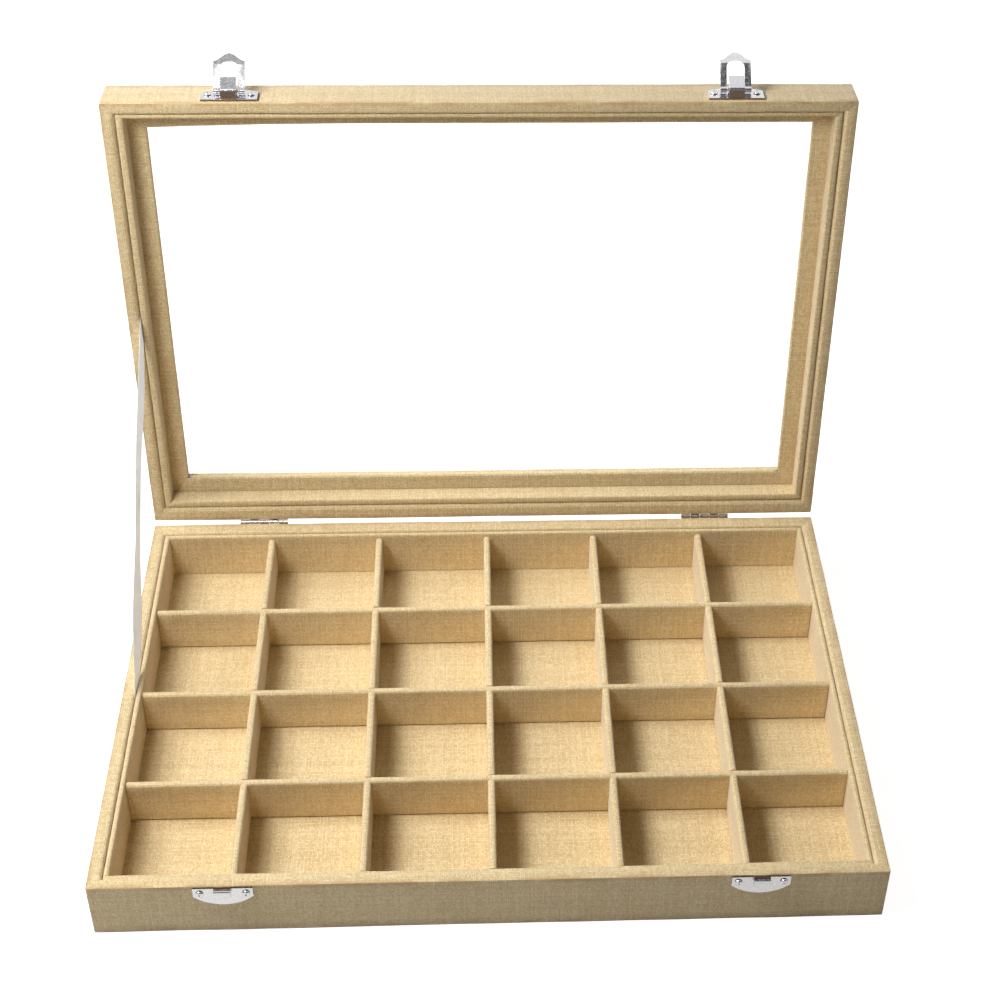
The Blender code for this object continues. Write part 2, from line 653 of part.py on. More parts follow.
def make_latch(side, base_wall, lid_rail):
    """Both halves of one latch, its pin and four screws. Returns what the lid carries, and the hasp."""
    x = LATCH_AT_X[side]
    plate = make_lid_plate(f"{side}_latch_lid_plate", x)
    hasp = make_hasp(f"{side}_latch_hasp", x)
    catch = make_catch(f"{side}_latch_catch", x)
    pin = cylinder_mesh((x, HASP_AXIS_Y, HASP_AXIS_Z), HASP_PIN_RADIUS, HASP_WIDTH, (1, 0, 0), SCREW_STEPS)
    pin = shade_round(add_object(f"{side}_latch_pin", pin, nickel))
    carried = [plate, pin]
    kinds = (("catch", catch, base_wall, BASE_HEIGHT - CATCH_SCREW_BELOW_RIM),
             ("lid", plate, lid_rail, LID_RIM + LID_SCREW_ABOVE_RIM))
    for kind, sheet, board, z in kinds:
        for number, step in enumerate((-1, 1), start=1):
            name = f"{side}_latch_{kind}_screw_{number}"
            point = (x + step * LATCH_SCREW_SPREAD / 2, PLATE_FACE - GAP, z)
            made = screw(name, point, (0, -1, 0))
            screw_hole(name + "_sheet", sheet, point, (0, -1, 0))
            screw_hole(name + "_board", board, point, (0, -1, 0))
            if kind == "lid":
                carried.append(made)
    return carried, hasp


def ribbon_ends():
    """Where the ribbon leaves the base's seam and the lid's seam, with the lid open."""
    lower = Vector((0, HINGE_AXIS.y - RIBBON_FROM_AXIS, BASE_HEIGHT))
    turn = Matrix.Rotation(-LID_OPENING, 3, "X")
    shut = Vector((0, HINGE_AXIS.y - RIBBON_FROM_AXIS, LID_RIM))
    return lower, HINGE_AXIS + turn @ (shut - HINGE_AXIS)


def ribbon_x():
    """The ribbon's plane, in the seam on the left."""
    return -HALF_WIDTH + SIDE_WALL - RIBBON_POCKET / 2 + SEAM / 2


def make_ribbon():
    """A taut ribbon between the two seams, tucked in at both ends."""
    lower, upper = ribbon_ends()
    along = (upper - lower).normalized()
    length = (upper - lower).length + 2 * RIBBON_TUCK
    bm = box_mesh((-RIBBON / 2, -RIBBON_WIDTH / 2, -length / 2), (RIBBON / 2, RIBBON_WIDTH / 2, length / 2))
    ribbon = add_object("ribbon_stay", bm, lambda name: material(name + "_satin", SATIN, 0.35))
    ribbon.rotation_mode = "QUATERNION"
    ribbon.rotation_quaternion = Vector((0, 0, 1)).rotation_difference(along)
    ribbon.location = (lower + upper) / 2 + Vector((ribbon_x(), 0, 0))


def ribbon_pocket(name, board, rim, inwards):
    """A shallow pocket in a board's inner face that takes the end of the ribbon."""
    face = -HALF_WIDTH + SIDE_WALL
    y = HINGE_AXIS.y - RIBBON_FROM_AXIS
    reach = RIBBON_TUCK + RIBBON_WIDTH
    low_z, high_z = sorted((rim - inwards * CUT_MARGIN, rim + inwards * reach))
    pocket = [((face - RIBBON_POCKET, y - reach, low_z), (face + CUT_MARGIN, y + reach, high_z))]
    cut(board, cutter_boxes(name, pocket))


def pivot(name, point, opening, parent=None):
    """An empty on a joint's axis that carries a moving body and turns it open."""
    empty = bpy.data.objects.new(name, None)
    parts.objects.link(empty)
    empty.location = point
    if parent:
        empty.parent = parent
        empty.location = Vector(point) - parent.location
    empty.rotation_euler = (-opening, 0, 0)
    return empty


def hang(thing, empty, axis_point):
    """Parent a piece, drawn where it lies when shut, and the tools that shape it, to a pivot."""
    tools = [step.object for step in thing.modifiers if step.type == "BOOLEAN"]
    for carried in [thing] + tools:
        carried.parent = empty
        carried.matrix_parent_inverse = Matrix.Translation(-Vector(axis_point))
    for tool in tools:
        if tool.modifiers:
            hang(tool, empty, axis_point)


def main():
    clear_scene()
    walls = make_base()
    make_dividers()
    lid = make_lid()
    moving = list(lid.values())
    hasps = {}
    for side in ("left", "right"):
        moving += make_hinge(side, walls["rear"], lid["rear_rail"])
        carried, hasps[side] = make_latch(side, walls["front"], lid["front_rail"])
        moving += carried
    make_ribbon()
    ribbon_pocket("base_ribbon_pocket", walls["left"], BASE_HEIGHT, -1)
    ribbon_pocket("lid_ribbon_pocket", lid["left_rail"], LID_RIM, 1)
    lid_pivot = pivot("lid_pivot", HINGE_AXIS, LID_OPENING)
    for thing in moving:
        hang(thing, lid_pivot, HINGE_AXIS)
    for side, hasp in hasps.items():
        axis_point = Vector((0, HASP_AXIS_Y, HASP_AXIS_Z))
        hang(hasp, pivot(f"{side}_hasp_pivot", axis_point, HASP_OPENING, lid_pivot), axis_point)


main()
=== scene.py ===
"""Display tray covered in linen, with a glazed lid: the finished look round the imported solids.

Everything is in metres and +Z is up. The lid's pieces are modelled where they lie when it is shut, and
then turned open about the hinge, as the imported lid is.
"""

import json
from contextlib import contextmanager
from math import pi, radians

import bmesh
import bpy
from bpy.props import FloatProperty, FloatVectorProperty, PointerProperty
from mathutils import Matrix, Vector


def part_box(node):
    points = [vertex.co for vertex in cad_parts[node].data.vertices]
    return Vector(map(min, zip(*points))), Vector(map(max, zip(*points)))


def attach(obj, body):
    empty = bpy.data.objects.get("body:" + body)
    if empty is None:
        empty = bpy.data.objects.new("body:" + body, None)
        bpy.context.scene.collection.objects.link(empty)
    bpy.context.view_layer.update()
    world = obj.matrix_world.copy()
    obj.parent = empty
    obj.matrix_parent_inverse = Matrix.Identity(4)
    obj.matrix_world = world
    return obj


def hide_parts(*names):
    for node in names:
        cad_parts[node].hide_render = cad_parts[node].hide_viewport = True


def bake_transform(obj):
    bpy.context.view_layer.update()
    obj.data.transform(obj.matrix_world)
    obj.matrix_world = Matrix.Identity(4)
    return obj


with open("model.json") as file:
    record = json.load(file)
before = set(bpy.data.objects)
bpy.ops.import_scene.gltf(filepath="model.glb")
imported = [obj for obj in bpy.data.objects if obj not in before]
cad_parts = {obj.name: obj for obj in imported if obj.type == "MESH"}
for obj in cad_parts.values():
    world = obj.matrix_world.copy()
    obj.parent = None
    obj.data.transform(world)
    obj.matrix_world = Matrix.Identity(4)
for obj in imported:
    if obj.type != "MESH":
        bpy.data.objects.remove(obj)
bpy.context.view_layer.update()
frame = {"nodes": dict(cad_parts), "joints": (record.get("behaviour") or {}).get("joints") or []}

bl_info = {
    "name": "Linen display tray",
    "version": (1, 0, 0),
    "blender": (4, 5, 0),
    "location": "View3D > Sidebar > Tray",
    "description": "Dresses a packed display tray in linen, nickel, glass and satin",
    "category": "Object",
}

LID_JOINT = next(joint for joint in frame["joints"] if joint["name"] == "lid_hinge")
HINGE = Vector(LID_JOINT["pos_m"])
OPEN_LID = (Matrix.Translation(HINGE) @ Matrix.Rotation(-radians(LID_JOINT["range_deg"][1]), 4, "X")
            @ Matrix.Translation(-HINGE))
SIDES = ("front", "rear", "left", "right")

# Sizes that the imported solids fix
HALF_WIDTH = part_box("base_right_wall")[1].x
HALF_DEPTH = -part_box("base_front_wall")[0].y
BASE_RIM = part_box("base_front_wall")[1].z
GAP = 0.0003
TOP_WINDOW_SETBACK = 0.0030
# Limits of the painted shade on the tongues' feet and on the catches' hooks and crowns
TONGUE_HALF = 0.0036
FOOT_OUTER, FOOT_INNER = -HALF_DEPTH - 0.0042, -HALF_DEPTH - 0.0002
FOOT_RISE = 0.0045
HOOK_HALF = 0.0040
CATCH_CROWN = 0.0016
RIBBON_WIDTH = 0.010
RIBBON_TUCK = 0.007
RIBBON_FROM_AXIS = 0.1185
SCREW_HEAD_RADIUS = 0.0017
SCREW_HEAD_HEIGHT = 0.0009
SCREW_SHANK_RADIUS = 0.0007
SCREW_LENGTH = 0.0048

# Sizes of the cloth over them
SLOT_LAP = 0.0001
SEAM_FILL = 0.0001
UNDERSIDE_ROUNDING = 0.0007
WINDOW_ROUNDING = 0.0017
WINDOW_SLOPE = 0.0008
CREASE_REACH = 0.0010
DIP_REACH = 0.28
SAG_REACH = 0.10

# Steps and tolerances of the modelling
CUT_STEPS = (0.004, 0.004, 0.006)
DIVIDER_STEPS = (0.004, 0.005)
TOOL_OVERSHOOT = (0.002, 0.001)
FACE_TOLERANCE = 0.00001
MERGE = 0.000001

# The camera, fitted to the photograph: place in metres, turn in degrees, shift in frames, sensor in mm
CAMERA_AT = (-0.004740, -0.646271, 0.686518)
CAMERA_TURN = (51.557, -1.105, -2.434)
CAMERA_SHIFT = (-0.0705, -0.0422)
CAMERA_SENSOR = 36


# Settings

class LinenSettings(bpy.types.PropertyGroup):
    pitch: FloatProperty(
        name="Thread pitch", description="Distance between threads that run across a board",
        default=0.00082, min=0.0002, unit="LENGTH")
    long_pitch: FloatProperty(
        name="Long thread pitch", description="Distance between threads that run along a board",
        default=0.00100, min=0.0002, unit="LENGTH")
    thread: FloatVectorProperty(
        name="Thread", description="Colour of the pale threads", subtype="COLOR", size=3,
        default=(0.91, 0.755, 0.465), min=0, max=1)
    dark_thread: FloatVectorProperty(
        name="Dark thread", description="Colour of the darker threads", subtype="COLOR", size=3,
        default=(0.63, 0.43, 0.17), min=0, max=1)
    between: FloatVectorProperty(
        name="Between threads", description="Colour seen between the threads", subtype="COLOR", size=3,
        default=(0.46, 0.285, 0.10), min=0, max=1)
    worn: FloatVectorProperty(
        name="Worn edge", description="Colour of the cloth where an edge is rubbed", subtype="COLOR", size=3,
        default=(0.52, 0.30, 0.12), min=0, max=1)
    relief: FloatProperty(
        name="Relief", description="Height of the threads over the gaps between them",
        default=0.00016, min=0, unit="LENGTH")


class BoardSettings(bpy.types.PropertyGroup):
    rim_rounding: FloatProperty(
        name="Rim rounding", description="Radius of the cloth over a wall's outer edges",
        default=0.0006, min=0.0002, unit="LENGTH")
    seam_rounding: FloatProperty(
        name="Seam rounding", description="Radius of the cloth over a base wall's edge along the liner",
        default=0.0016, min=0.0002, unit="LENGTH")
    lid_seam_rounding: FloatProperty(
        name="Lid seam rounding", description="Radius of the cloth over a lid rail's edge along the liner",
        default=0.0023, min=0.0002, unit="LENGTH")
    corner_rounding: FloatProperty(
        name="Corner rounding", description="Radius of the upright outer corners",
        default=0.0007, min=0.0002, unit="LENGTH")
    liner_rounding: FloatProperty(
        name="Liner rounding", description="Radius of the cloth over a liner's edge",
        default=0.0010, min=0.0002, unit="LENGTH")
    divider_rounding: FloatProperty(
        name="Divider rounding", description="Radius of the cloth over a divider's top",
        default=0.0014, min=0.0002, unit="LENGTH")
    liner_drop: FloatProperty(
        name="Liner drop", description="How far the base liners' cloth lies below the rim round it",
        default=0.0006, min=0, unit="LENGTH")
    lid_liner_drop: FloatProperty(
        name="Lid liner drop", description="How far the lid liners' cloth lies behind the rim round it",
        default=0.0010, min=0, unit="LENGTH")
    front_dip: FloatProperty(
        name="Front dip", description="How far the front liner sinks in its middle",
        default=0.0014, min=0, unit="LENGTH")
    corner_sag: FloatProperty(
        name="Corner sag",
        description="How far the cloth round the glass comes down at its upper left corner",
        default=0.0016, min=0, unit="LENGTH")
    fold_depth: FloatProperty(
        name="Fold depth", description="Depth of the creases where the cloth is mitred",
        default=0.0004, min=0, unit="LENGTH")
    waviness: FloatProperty(
        name="Waviness", description="How far the cloth wanders from the board under it",
        default=0.00035, min=0, unit="LENGTH")


class FittingSettings(bpy.types.PropertyGroup):
    nickel: FloatVectorProperty(
        name="Nickel", description="Colour of the plated fittings", subtype="COLOR", size=3,
        default=(0.80, 0.80, 0.82), min=0, max=1)
    polish: FloatProperty(
        name="Roughness", description="Roughness of the plating, from 0, mirror bright, to 1",
        default=0.16, min=0, max=1, subtype="FACTOR")
    edge: FloatProperty(
        name="Edge rounding", description="Radius of the fittings' edges",
        default=0.00012, min=0, unit="LENGTH")
    recess: FloatProperty(
        name="Screw recess", description="Depth of the cross in a screw's head",
        default=0.0006, min=0, unit="LENGTH")


class RibbonSettings(bpy.types.PropertyGroup):
    satin: FloatVectorProperty(
        name="Satin", description="Colour of the ribbon", subtype="COLOR", size=3,
        default=(0.90, 0.92, 0.98), min=0, max=1)
    thickness: FloatProperty(
        name="Thickness", description="Thickness of the ribbon", default=0.00025, min=0.0001,
        unit="LENGTH")


class StageSettings(bpy.types.PropertyGroup):
    floor: FloatVectorProperty(
        name="Floor", description="Colour of the floor", subtype="COLOR", size=3,
        default=(0.70, 0.70, 0.70), min=0, max=1)
    glow: FloatProperty(
        name="Floor glow", description="What the camera sees on the floor beside the lamps' light",
        default=0.9, min=0, max=1)
    lamps: FloatProperty(
        name="Lamps", description="Power of the three soft lamps on the tray's left together",
        default=23.0, min=0, unit="POWER")
    sky: FloatProperty(
        name="Surroundings", description="Strength of the even light from all round", default=0.075, min=0)
    lens: FloatProperty(
        name="Lens", description="Focal length of the camera", default=0.069048, min=0.01,
        unit="CAMERA")


# Selecting and editing

def deselect():
    if bpy.context.mode != "OBJECT":
        bpy.ops.object.mode_set(mode="OBJECT")
    bpy.ops.object.select_all(action="DESELECT")


def activate(piece, *others):
    deselect()
    for thing in (piece, *others):
        thing.select_set(True)
    bpy.context.view_layer.objects.active = piece


def apply_place(piece):
    activate(piece)
    bpy.ops.object.transform_apply(location=True, rotation=True, scale=True)


def apply_modifier(piece, modifier):
    activate(piece)
    bpy.ops.object.modifier_apply(modifier=modifier.name)


@contextmanager
def editing(piece):
    activate(piece)
    bpy.ops.object.mode_set(mode="EDIT")
    yield
    bpy.ops.object.mode_set(mode="OBJECT")


def pick(piece, kind, wanted):
    """In edit mode, select what passes a test and nothing else. Returns how many passed."""
    bpy.ops.mesh.select_mode(type=kind)
    bpy.ops.mesh.select_all(action="DESELECT")
    mesh = bmesh.from_edit_mesh(piece.data)
    mesh.normal_update()
    found = 0
    for item in {"VERT": mesh.verts, "EDGE": mesh.edges, "FACE": mesh.faces}[kind]:
        if wanted(item):
            item.select_set(True)
            found += 1
    mesh.select_flush_mode()
    bmesh.update_edit_mesh(piece.data)
    return found


def proportional(size, falloff="SMOOTH", connected=False):
    """Options for a move that fades out round what is selected."""
    return {"use_proportional_edit": True, "use_proportional_connected": connected,
            "proportional_edit_falloff": falloff, "proportional_size": size}


def middle(edge):
    return (edge.verts[0].co + edge.verts[1].co) / 2


def runs_along(edge, axis, least=0.0):
    """True if an edge lies along an axis and is longer than a least length."""
    step = edge.verts[1].co - edge.verts[0].co
    return step.length > least and abs(step[axis]) > 0.9999 * step.length


def is_sharp(edge, angle=0.6):
    return len(edge.link_faces) == 2 and edge.calc_face_angle() > angle


def new_box(name, low, high):
    """A block between two corners, ready for shaping."""
    deselect()
    low, high = Vector(low), Vector(high)
    bpy.ops.mesh.primitive_cube_add(size=1, location=(low + high) / 2)
    block = bpy.context.object
    block.name = name
    block.scale = high - low
    apply_place(block)
    return block


def copy_of(piece, name):
    """A copy of a piece with a mesh of its own."""
    made = bpy.data.objects.new(name, piece.data.copy())
    bpy.context.scene.collection.objects.link(made)
    return made


def cut_out(piece, tool):
    """Take a tool's shape out of a piece, and remove the tool."""
    cut = piece.modifiers.new("cut", "BOOLEAN")
    cut.operation = "DIFFERENCE"
    cut.solver = "EXACT"
    cut.object = tool
    apply_modifier(piece, cut)
    bpy.data.objects.remove(tool)


def round_edges(piece, wanted, radius, segments=4):
    """In edit mode, round the edges that pass a test."""
    if not pick(piece, "EDGE", wanted):
        raise ValueError(f"{piece.name}: no edge to round")
    bpy.ops.mesh.bevel(offset=radius, offset_type="OFFSET", segments=segments, profile=0.5,
                       affect="EDGES", clamp_overlap=True)


def cut_lengths(piece, axis, step):
    """In edit mode, divide the long edges along an axis into equal steps."""
    longest = max(edge.calc_length() for edge in bmesh.from_edit_mesh(piece.data).edges
                  if runs_along(edge, axis))
    cuts = int(longest / step)
    if cuts:
        pick(piece, "EDGE", lambda edge: runs_along(edge, axis, 0.8 * longest))
        bpy.ops.mesh.subdivide(number_cuts=cuts)


def cut_finely(piece, axes=(0, 1, 2)):
    """In edit mode, divide a frame's faces so that its cloth can wander."""
    for axis in axes:
        cut_lengths(piece, axis, CUT_STEPS[axis])


# Frames made of four boards

def ring(name, loops):
    """A closed frame from rectangles, each (half width, front, rear, height), in order round its section.

    The rectangles are bridged one above the other, and then each is moved to its height.
    """
    spread = 0.02
    planes = []
    for level, (half, front, rear, _) in enumerate(loops):
        deselect()
        bpy.ops.mesh.primitive_plane_add(size=1, location=(0, (front + rear) / 2, level * spread))
        plane = bpy.context.object
        plane.scale = (2 * half, rear - front, 1)
        apply_place(plane)
        planes.append(plane)
    activate(*planes)
    bpy.ops.object.join()
    piece = bpy.context.object
    piece.name = name
    with editing(piece):
        bpy.ops.mesh.select_all(action="SELECT")
        bpy.ops.mesh.delete(type="ONLY_FACE")
        for level in range(len(loops)):
            pair = (level, (level + 1) % len(loops))
            pick(piece, "EDGE", lambda edge: any(all(on_level(vert.co, one * spread) for vert in edge.verts)
                                                 for one in pair))
            bpy.ops.mesh.bridge_edge_loops()
        for level, loop in reversed(list(enumerate(loops))):
            pick(piece, "VERT", lambda vert: on_level(vert.co, level * spread)
                 and on_rectangle(vert.co, loop[:3]))
            bpy.ops.transform.translate(value=(0, 0, loop[3] - level * spread))
        bpy.ops.mesh.select_all(action="SELECT")
        bpy.ops.mesh.normals_make_consistent(inside=False)
    return piece


def on_level(point, height):
    return abs(point.z - height) < FACE_TOLERANCE


def on_rectangle(point, limits):
    half, front, rear = limits
    return (abs(abs(point.x) - half) < FACE_TOLERANCE
            and min(abs(point.y - front), abs(point.y - rear)) < FACE_TOLERANCE)


def is_inside(point, limits, margin=0.0005):
    half, front, rear = limits
    return abs(point.x) < half + margin and front - margin < point.y < rear + margin


def round_rim(piece, height, radius, limits=None, inside=True, segments=4):
    """In edit mode, round a frame's sharp edges at a height: all, or those inside or outside some limits."""
    round_edges(piece, lambda edge: is_sharp(edge) and on_level(middle(edge), height)
                and (limits is None or is_inside(middle(edge), limits) == inside), radius, segments)


def round_walls(piece, outer, inner, rim, seam_rounding):
    """In edit mode, round the cloth over four walls: up their corners, along the liner and along the rim."""
    boards = bpy.context.scene.tray_boards
    round_edges(piece, lambda edge: runs_along(edge, 2) and on_rectangle(middle(edge), outer),
                boards.corner_rounding)
    round_rim(piece, rim, seam_rounding, inner)
    round_rim(piece, rim, boards.rim_rounding, inner, inside=False)


def crease_corners(piece, outer, inner, height, upwards, depth):
    """Fold the cloth in at the four mitres of a frame's rim: a groove with a soft swelling beside it."""
    past_end, near_rim = 0.1, 0.0012
    lines = []
    for sign in (-1, 1):
        for end in (1, 2):
            start = Vector((sign * outer[0], outer[end], height))
            lines.append((start, Vector((sign * inner[0], inner[end], height)) - start))

    def off_line(point):
        best = 1.0
        for start, along in lines:
            share = (point - start).dot(along) / along.length_squared
            if -past_end < share < 1 + past_end and abs(point.z - height) < near_rim:
                best = min(best, (point - start - share * along).xy.length)
        return best

    pick(piece, "EDGE", lambda edge: all(off_line(vert.co) < FACE_TOLERANCE for vert in edge.verts)
         and on_level(middle(edge), height))
    bpy.ops.mesh.bevel(offset=CREASE_REACH, segments=6, affect="EDGES", clamp_overlap=True)
    for share, rise in ((0, -1.0), (1 / 3, -0.45), (2 / 3, 0.35), (1, 0.3)):
        pick(piece, "VERT",
             lambda vert: abs(off_line(vert.co) - share * CREASE_REACH) < CREASE_REACH / 10)
        bpy.ops.transform.translate(value=(0, 0, rise * depth * upwards))


def ripple(piece, size, strength, direction="NORMAL"):
    """Let the cloth wander off its board, by an even cloudy pattern."""
    clouds = bpy.data.textures.new(piece.name + "_clouds", "CLOUDS")
    clouds.noise_scale = size
    clouds.noise_depth = 1
    wave = piece.modifiers.new("ripple", "DISPLACE")
    wave.texture = clouds
    wave.texture_coords = "LOCAL"
    wave.direction = direction
    wave.strength = strength
    wave.mid_level = 0.5
    apply_modifier(piece, wave)
    bpy.data.textures.remove(clouds)


# Cloth

def lies_on_side(point):
    """True where a frame's point belongs to its left or right board."""
    return HALF_WIDTH - abs(point.x) < HALF_DEPTH - abs(point.y)


def map_cloth(piece, along=None):
    """A flat map in metres for the weave. Its first axis runs along the board that a face belongs to.

    The faces turned another way, and the side boards, are shifted, so that they don't share their threads.
    """
    turned_shift, side_shift = 0.31, 0.173
    layer = piece.data.uv_layers.new(name="cloth")
    for face in piece.data.polygons:
        normal = [abs(value) for value in face.normal]
        across = normal.index(max(normal))
        axes = [axis for axis in (0, 1, 2) if axis != across]
        if across == 2:
            lengthwise = along if along is not None else (1 if lies_on_side(face.center) else 0)
            axes.sort(key=lambda axis: axis != lengthwise)
        shift = turned_shift * across + (side_shift if lies_on_side(face.center) else 0.0)
        for corner in face.loop_indices:
            spot = piece.data.vertices[piece.data.loops[corner].vertex_index].co
            layer.data[corner].uv = (spot[axes[0]] + shift, spot[axes[1]] + shift / 3)


def mark_wear(piece, low, high, reach=0.0011):
    """Note on each point how close it lies to an outer edge, where the cloth is rubbed browner."""
    wear = piece.data.attributes.new("wear", "FLOAT", "POINT")
    for vert in piece.data.vertices:
        depths = sorted(min(vert.co[axis] - low[axis], high[axis] - vert.co[axis]) for axis in range(3))
        wear.data[vert.index].value = max(0.0, 1.0 - max(depths[1], 0.0) / reach)


def paint_corner_shade(piece, corners, reach=0.0018):
    """Note how close each point lies to a corner, for painted shade, near black, where the folded cloth meets
    there.
    """
    corner_shade = piece.data.attributes.new("corner_shade", "FLOAT", "POINT")
    for vert in piece.data.vertices:
        nearest = min((vert.co - Vector(corner)).length for corner in corners)
        corner_shade.data[vert.index].value = max(0.0, 1.0 - nearest / reach)


def set_finish(piece, material, smooth=40):
    piece.data.materials.clear()
    piece.data.materials.append(material)
    activate(piece)
    bpy.ops.object.shade_smooth_by_angle(angle=radians(smooth))


def stand_in(piece, body, nodes):
    """Let a piece move with a body, in the place of its solids."""
    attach(piece, body)
    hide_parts(*nodes)


def finish_cloth(piece, body, nodes):
    """Turn a lid's piece open, give it its linen and let it stand for its solids."""
    if body == "lid":
        piece.matrix_world = OPEN_LID
        apply_place(piece)
    set_finish(piece, shared("natural_linen", linen))
    stand_in(piece, body, nodes)


def repaint(node, material):
    """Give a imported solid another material."""
    slots = frame["nodes"][node].data.materials
    slots.clear()
    slots.append(material)


# Materials

class Graph:
    """Builds a material's nodes from short calls."""

    def __init__(self, tree):
        self.tree = tree

    def add(self, kind, **options):
        made = self.tree.nodes.new(kind)
        for key, value in options.items():
            setattr(made, key, value)
        return made

    def feed(self, socket, value):
        if isinstance(value, bpy.types.NodeSocket):
            self.tree.links.new(value, socket)
        elif value is not None:
            socket.default_value = value

    def fill(self, node, *values, **named):
        """Give a node's inputs values or links, in order or by name, with _ for a space. Returns the node."""
        for socket, value in zip(node.inputs, values):
            self.feed(socket, value)
        for name, value in named.items():
            self.feed(node.inputs[name.replace("_", " ")], value)
        return node

    def show(self, surface):
        """Make a shader the material's surface."""
        self.fill(self.tree.nodes["Material Output"], surface.outputs[0])

    def math(self, operation, *values, clamp=False):
        return self.fill(self.add("ShaderNodeMath", operation=operation, use_clamp=clamp), *values).outputs[0]

    def times(self, value, share, plus=None):
        """A product, or a product and a sum."""
        return self.math("MULTIPLY" if plus is None else "MULTIPLY_ADD", value, share, plus)

    def off_centre(self, value):
        return self.math("SUBTRACT", value, 0.5)

    def vector(self, x=0.0, y=0.0, z=0.0):
        return self.fill(self.add("ShaderNodeCombineXYZ"), x, y, z).outputs[0]

    def parts(self, vector):
        return self.fill(self.add("ShaderNodeSeparateXYZ"), vector).outputs

    def noise(self, spot, scale, detail=1.0, roughness=0.5):
        made = self.add("ShaderNodeTexNoise")
        return self.fill(made, Vector=spot, Scale=scale, Detail=detail, Roughness=roughness).outputs[0]

    def white_noise(self, spot, dimensions):
        made = self.add("ShaderNodeTexWhiteNoise", noise_dimensions=dimensions)
        return self.fill(made, Vector=spot).outputs[0]

    def span(self, value, low, high, to_low=0.0, to_high=1.0):
        made = self.add("ShaderNodeMapRange", interpolation_type="SMOOTHSTEP")
        return self.fill(made, value, low, high, to_low, to_high).outputs[0]

    def blend(self, share, first, second):
        made = self.add("ShaderNodeMix", data_type="RGBA")
        self.feed(made.inputs[0], share)
        self.feed(made.inputs[6], first)
        self.feed(made.inputs[7], second)
        return made.outputs[2]

    def bump(self, height, distance, strength):
        made = self.add("ShaderNodeBump")
        return self.fill(made, Strength=strength, Distance=distance, Height=height).outputs[0]


def new_material(name):
    made = bpy.data.materials.new(name)
    made.use_nodes = True
    return made, Graph(made.node_tree), made.node_tree.nodes["Principled BSDF"]


def shared(name, maker, *details):
    """A material that several pieces use, made once."""
    return bpy.data.materials.get(name) or maker(name, *details)


def colour(values):
    return (*values, 1.0)


def linen(name, mapped=True):
    """Plain-weave linen: uneven threads over and under each other, with slubs along some of them."""
    settings = bpy.context.scene.tray_linen
    material, graph, shader = new_material(name)
    if mapped:
        spot = graph.add("ShaderNodeUVMap", uv_map="cloth").outputs[0]
    else:
        spot = graph.add("ShaderNodeTexCoord").outputs["Object"]
    wander = graph.times(graph.off_centre(graph.noise(spot, 90, 2)), 0.9)
    x, y, _ = graph.parts(spot)
    across = graph.times(x, 1 / settings.pitch, wander)
    upward = graph.times(y, 1 / settings.long_pitch, wander)
    warp, warp_tone = thread(graph, across, upward, 3.0)
    weft, weft_tone = thread(graph, upward, across, 11.0)
    over = graph.times(*(graph.math("SINE", graph.times(way, pi)) for way in (across, upward)))
    warp_height = graph.times(warp, graph.times(over, 0.4, 0.6))
    weft_height = graph.times(weft, graph.times(over, -0.4, 0.6))
    height = graph.math("MAXIMUM", warp_height, weft_height)
    on_top = graph.math("GREATER_THAN", weft_height, warp_height)
    tone = graph.times(on_top, graph.math("SUBTRACT", weft_tone, warp_tone), warp_tone)
    fibre = graph.noise(spot, 5200, 2)
    tone = graph.times(graph.off_centre(fibre), 0.6, tone)
    tone = graph.times(graph.off_centre(graph.noise(spot, 26, 2)), 0.22, tone)
    body = graph.blend(graph.math("ADD", tone, 0.0, clamp=True), colour(settings.dark_thread),
                       colour(settings.thread))
    wear = graph.add("ShaderNodeAttribute", attribute_name="wear").outputs["Fac"]
    patchy = graph.span(graph.noise(spot, 55, 2), 0.38, 0.62)
    rubbed = graph.times(graph.span(wear, 0.15, 0.9), patchy)
    body = graph.blend(graph.times(rubbed, 0.75), body, colour(settings.worn))
    # Painted shade: near black at the window's corners, as the frame's points note
    corner_shade = graph.add("ShaderNodeAttribute", attribute_name="corner_shade").outputs["Fac"]
    body = graph.blend(graph.span(corner_shade, 0.05, 0.45), body, (0.05, 0.03, 0.015, 1))
    depth = graph.span(height, 0.12, 0.55)
    graph.fill(shader, Base_Color=graph.blend(depth, colour(settings.between), body),
               Roughness=graph.span(fibre, 0.2, 0.8, 0.72, 0.9), Specular_IOR_Level=0.5,
               Sheen_Weight=0.55, Sheen_Roughness=0.5,
               Normal=graph.bump(graph.times(fibre, 0.35, height), settings.relief, 0.8))
    return material


def thread(graph, across, along, seed):
    """The height and the tone of one set of threads. Slubs make some thicker and paler for a while."""
    index = graph.math("FLOOR", across)
    own = graph.white_noise(graph.vector(index, seed), "2D")
    crossing = graph.white_noise(graph.vector(index, graph.math("FLOOR", along), seed), "3D")
    run = graph.noise(graph.vector(graph.times(own, 400.0), graph.times(along, 0.06), seed), 1.0, 1)
    slub = graph.span(run, 0.60, 0.76)
    width = graph.times(slub, 0.25, graph.times(own, 0.25, 0.78))
    offset = graph.off_centre(graph.math("FRACT", across))
    share = graph.math("DIVIDE", graph.times(offset, 2.0), width)
    profile = graph.math("SUBTRACT", 1.0, graph.math("POWER", graph.math("ABSOLUTE", share), 2.0), clamp=True)
    tone = graph.times(crossing, 0.62, graph.times(own, 0.26, 0.14))
    tone = graph.times(graph.off_centre(run), 0.45, tone)
    return graph.math("SQRT", profile), tone


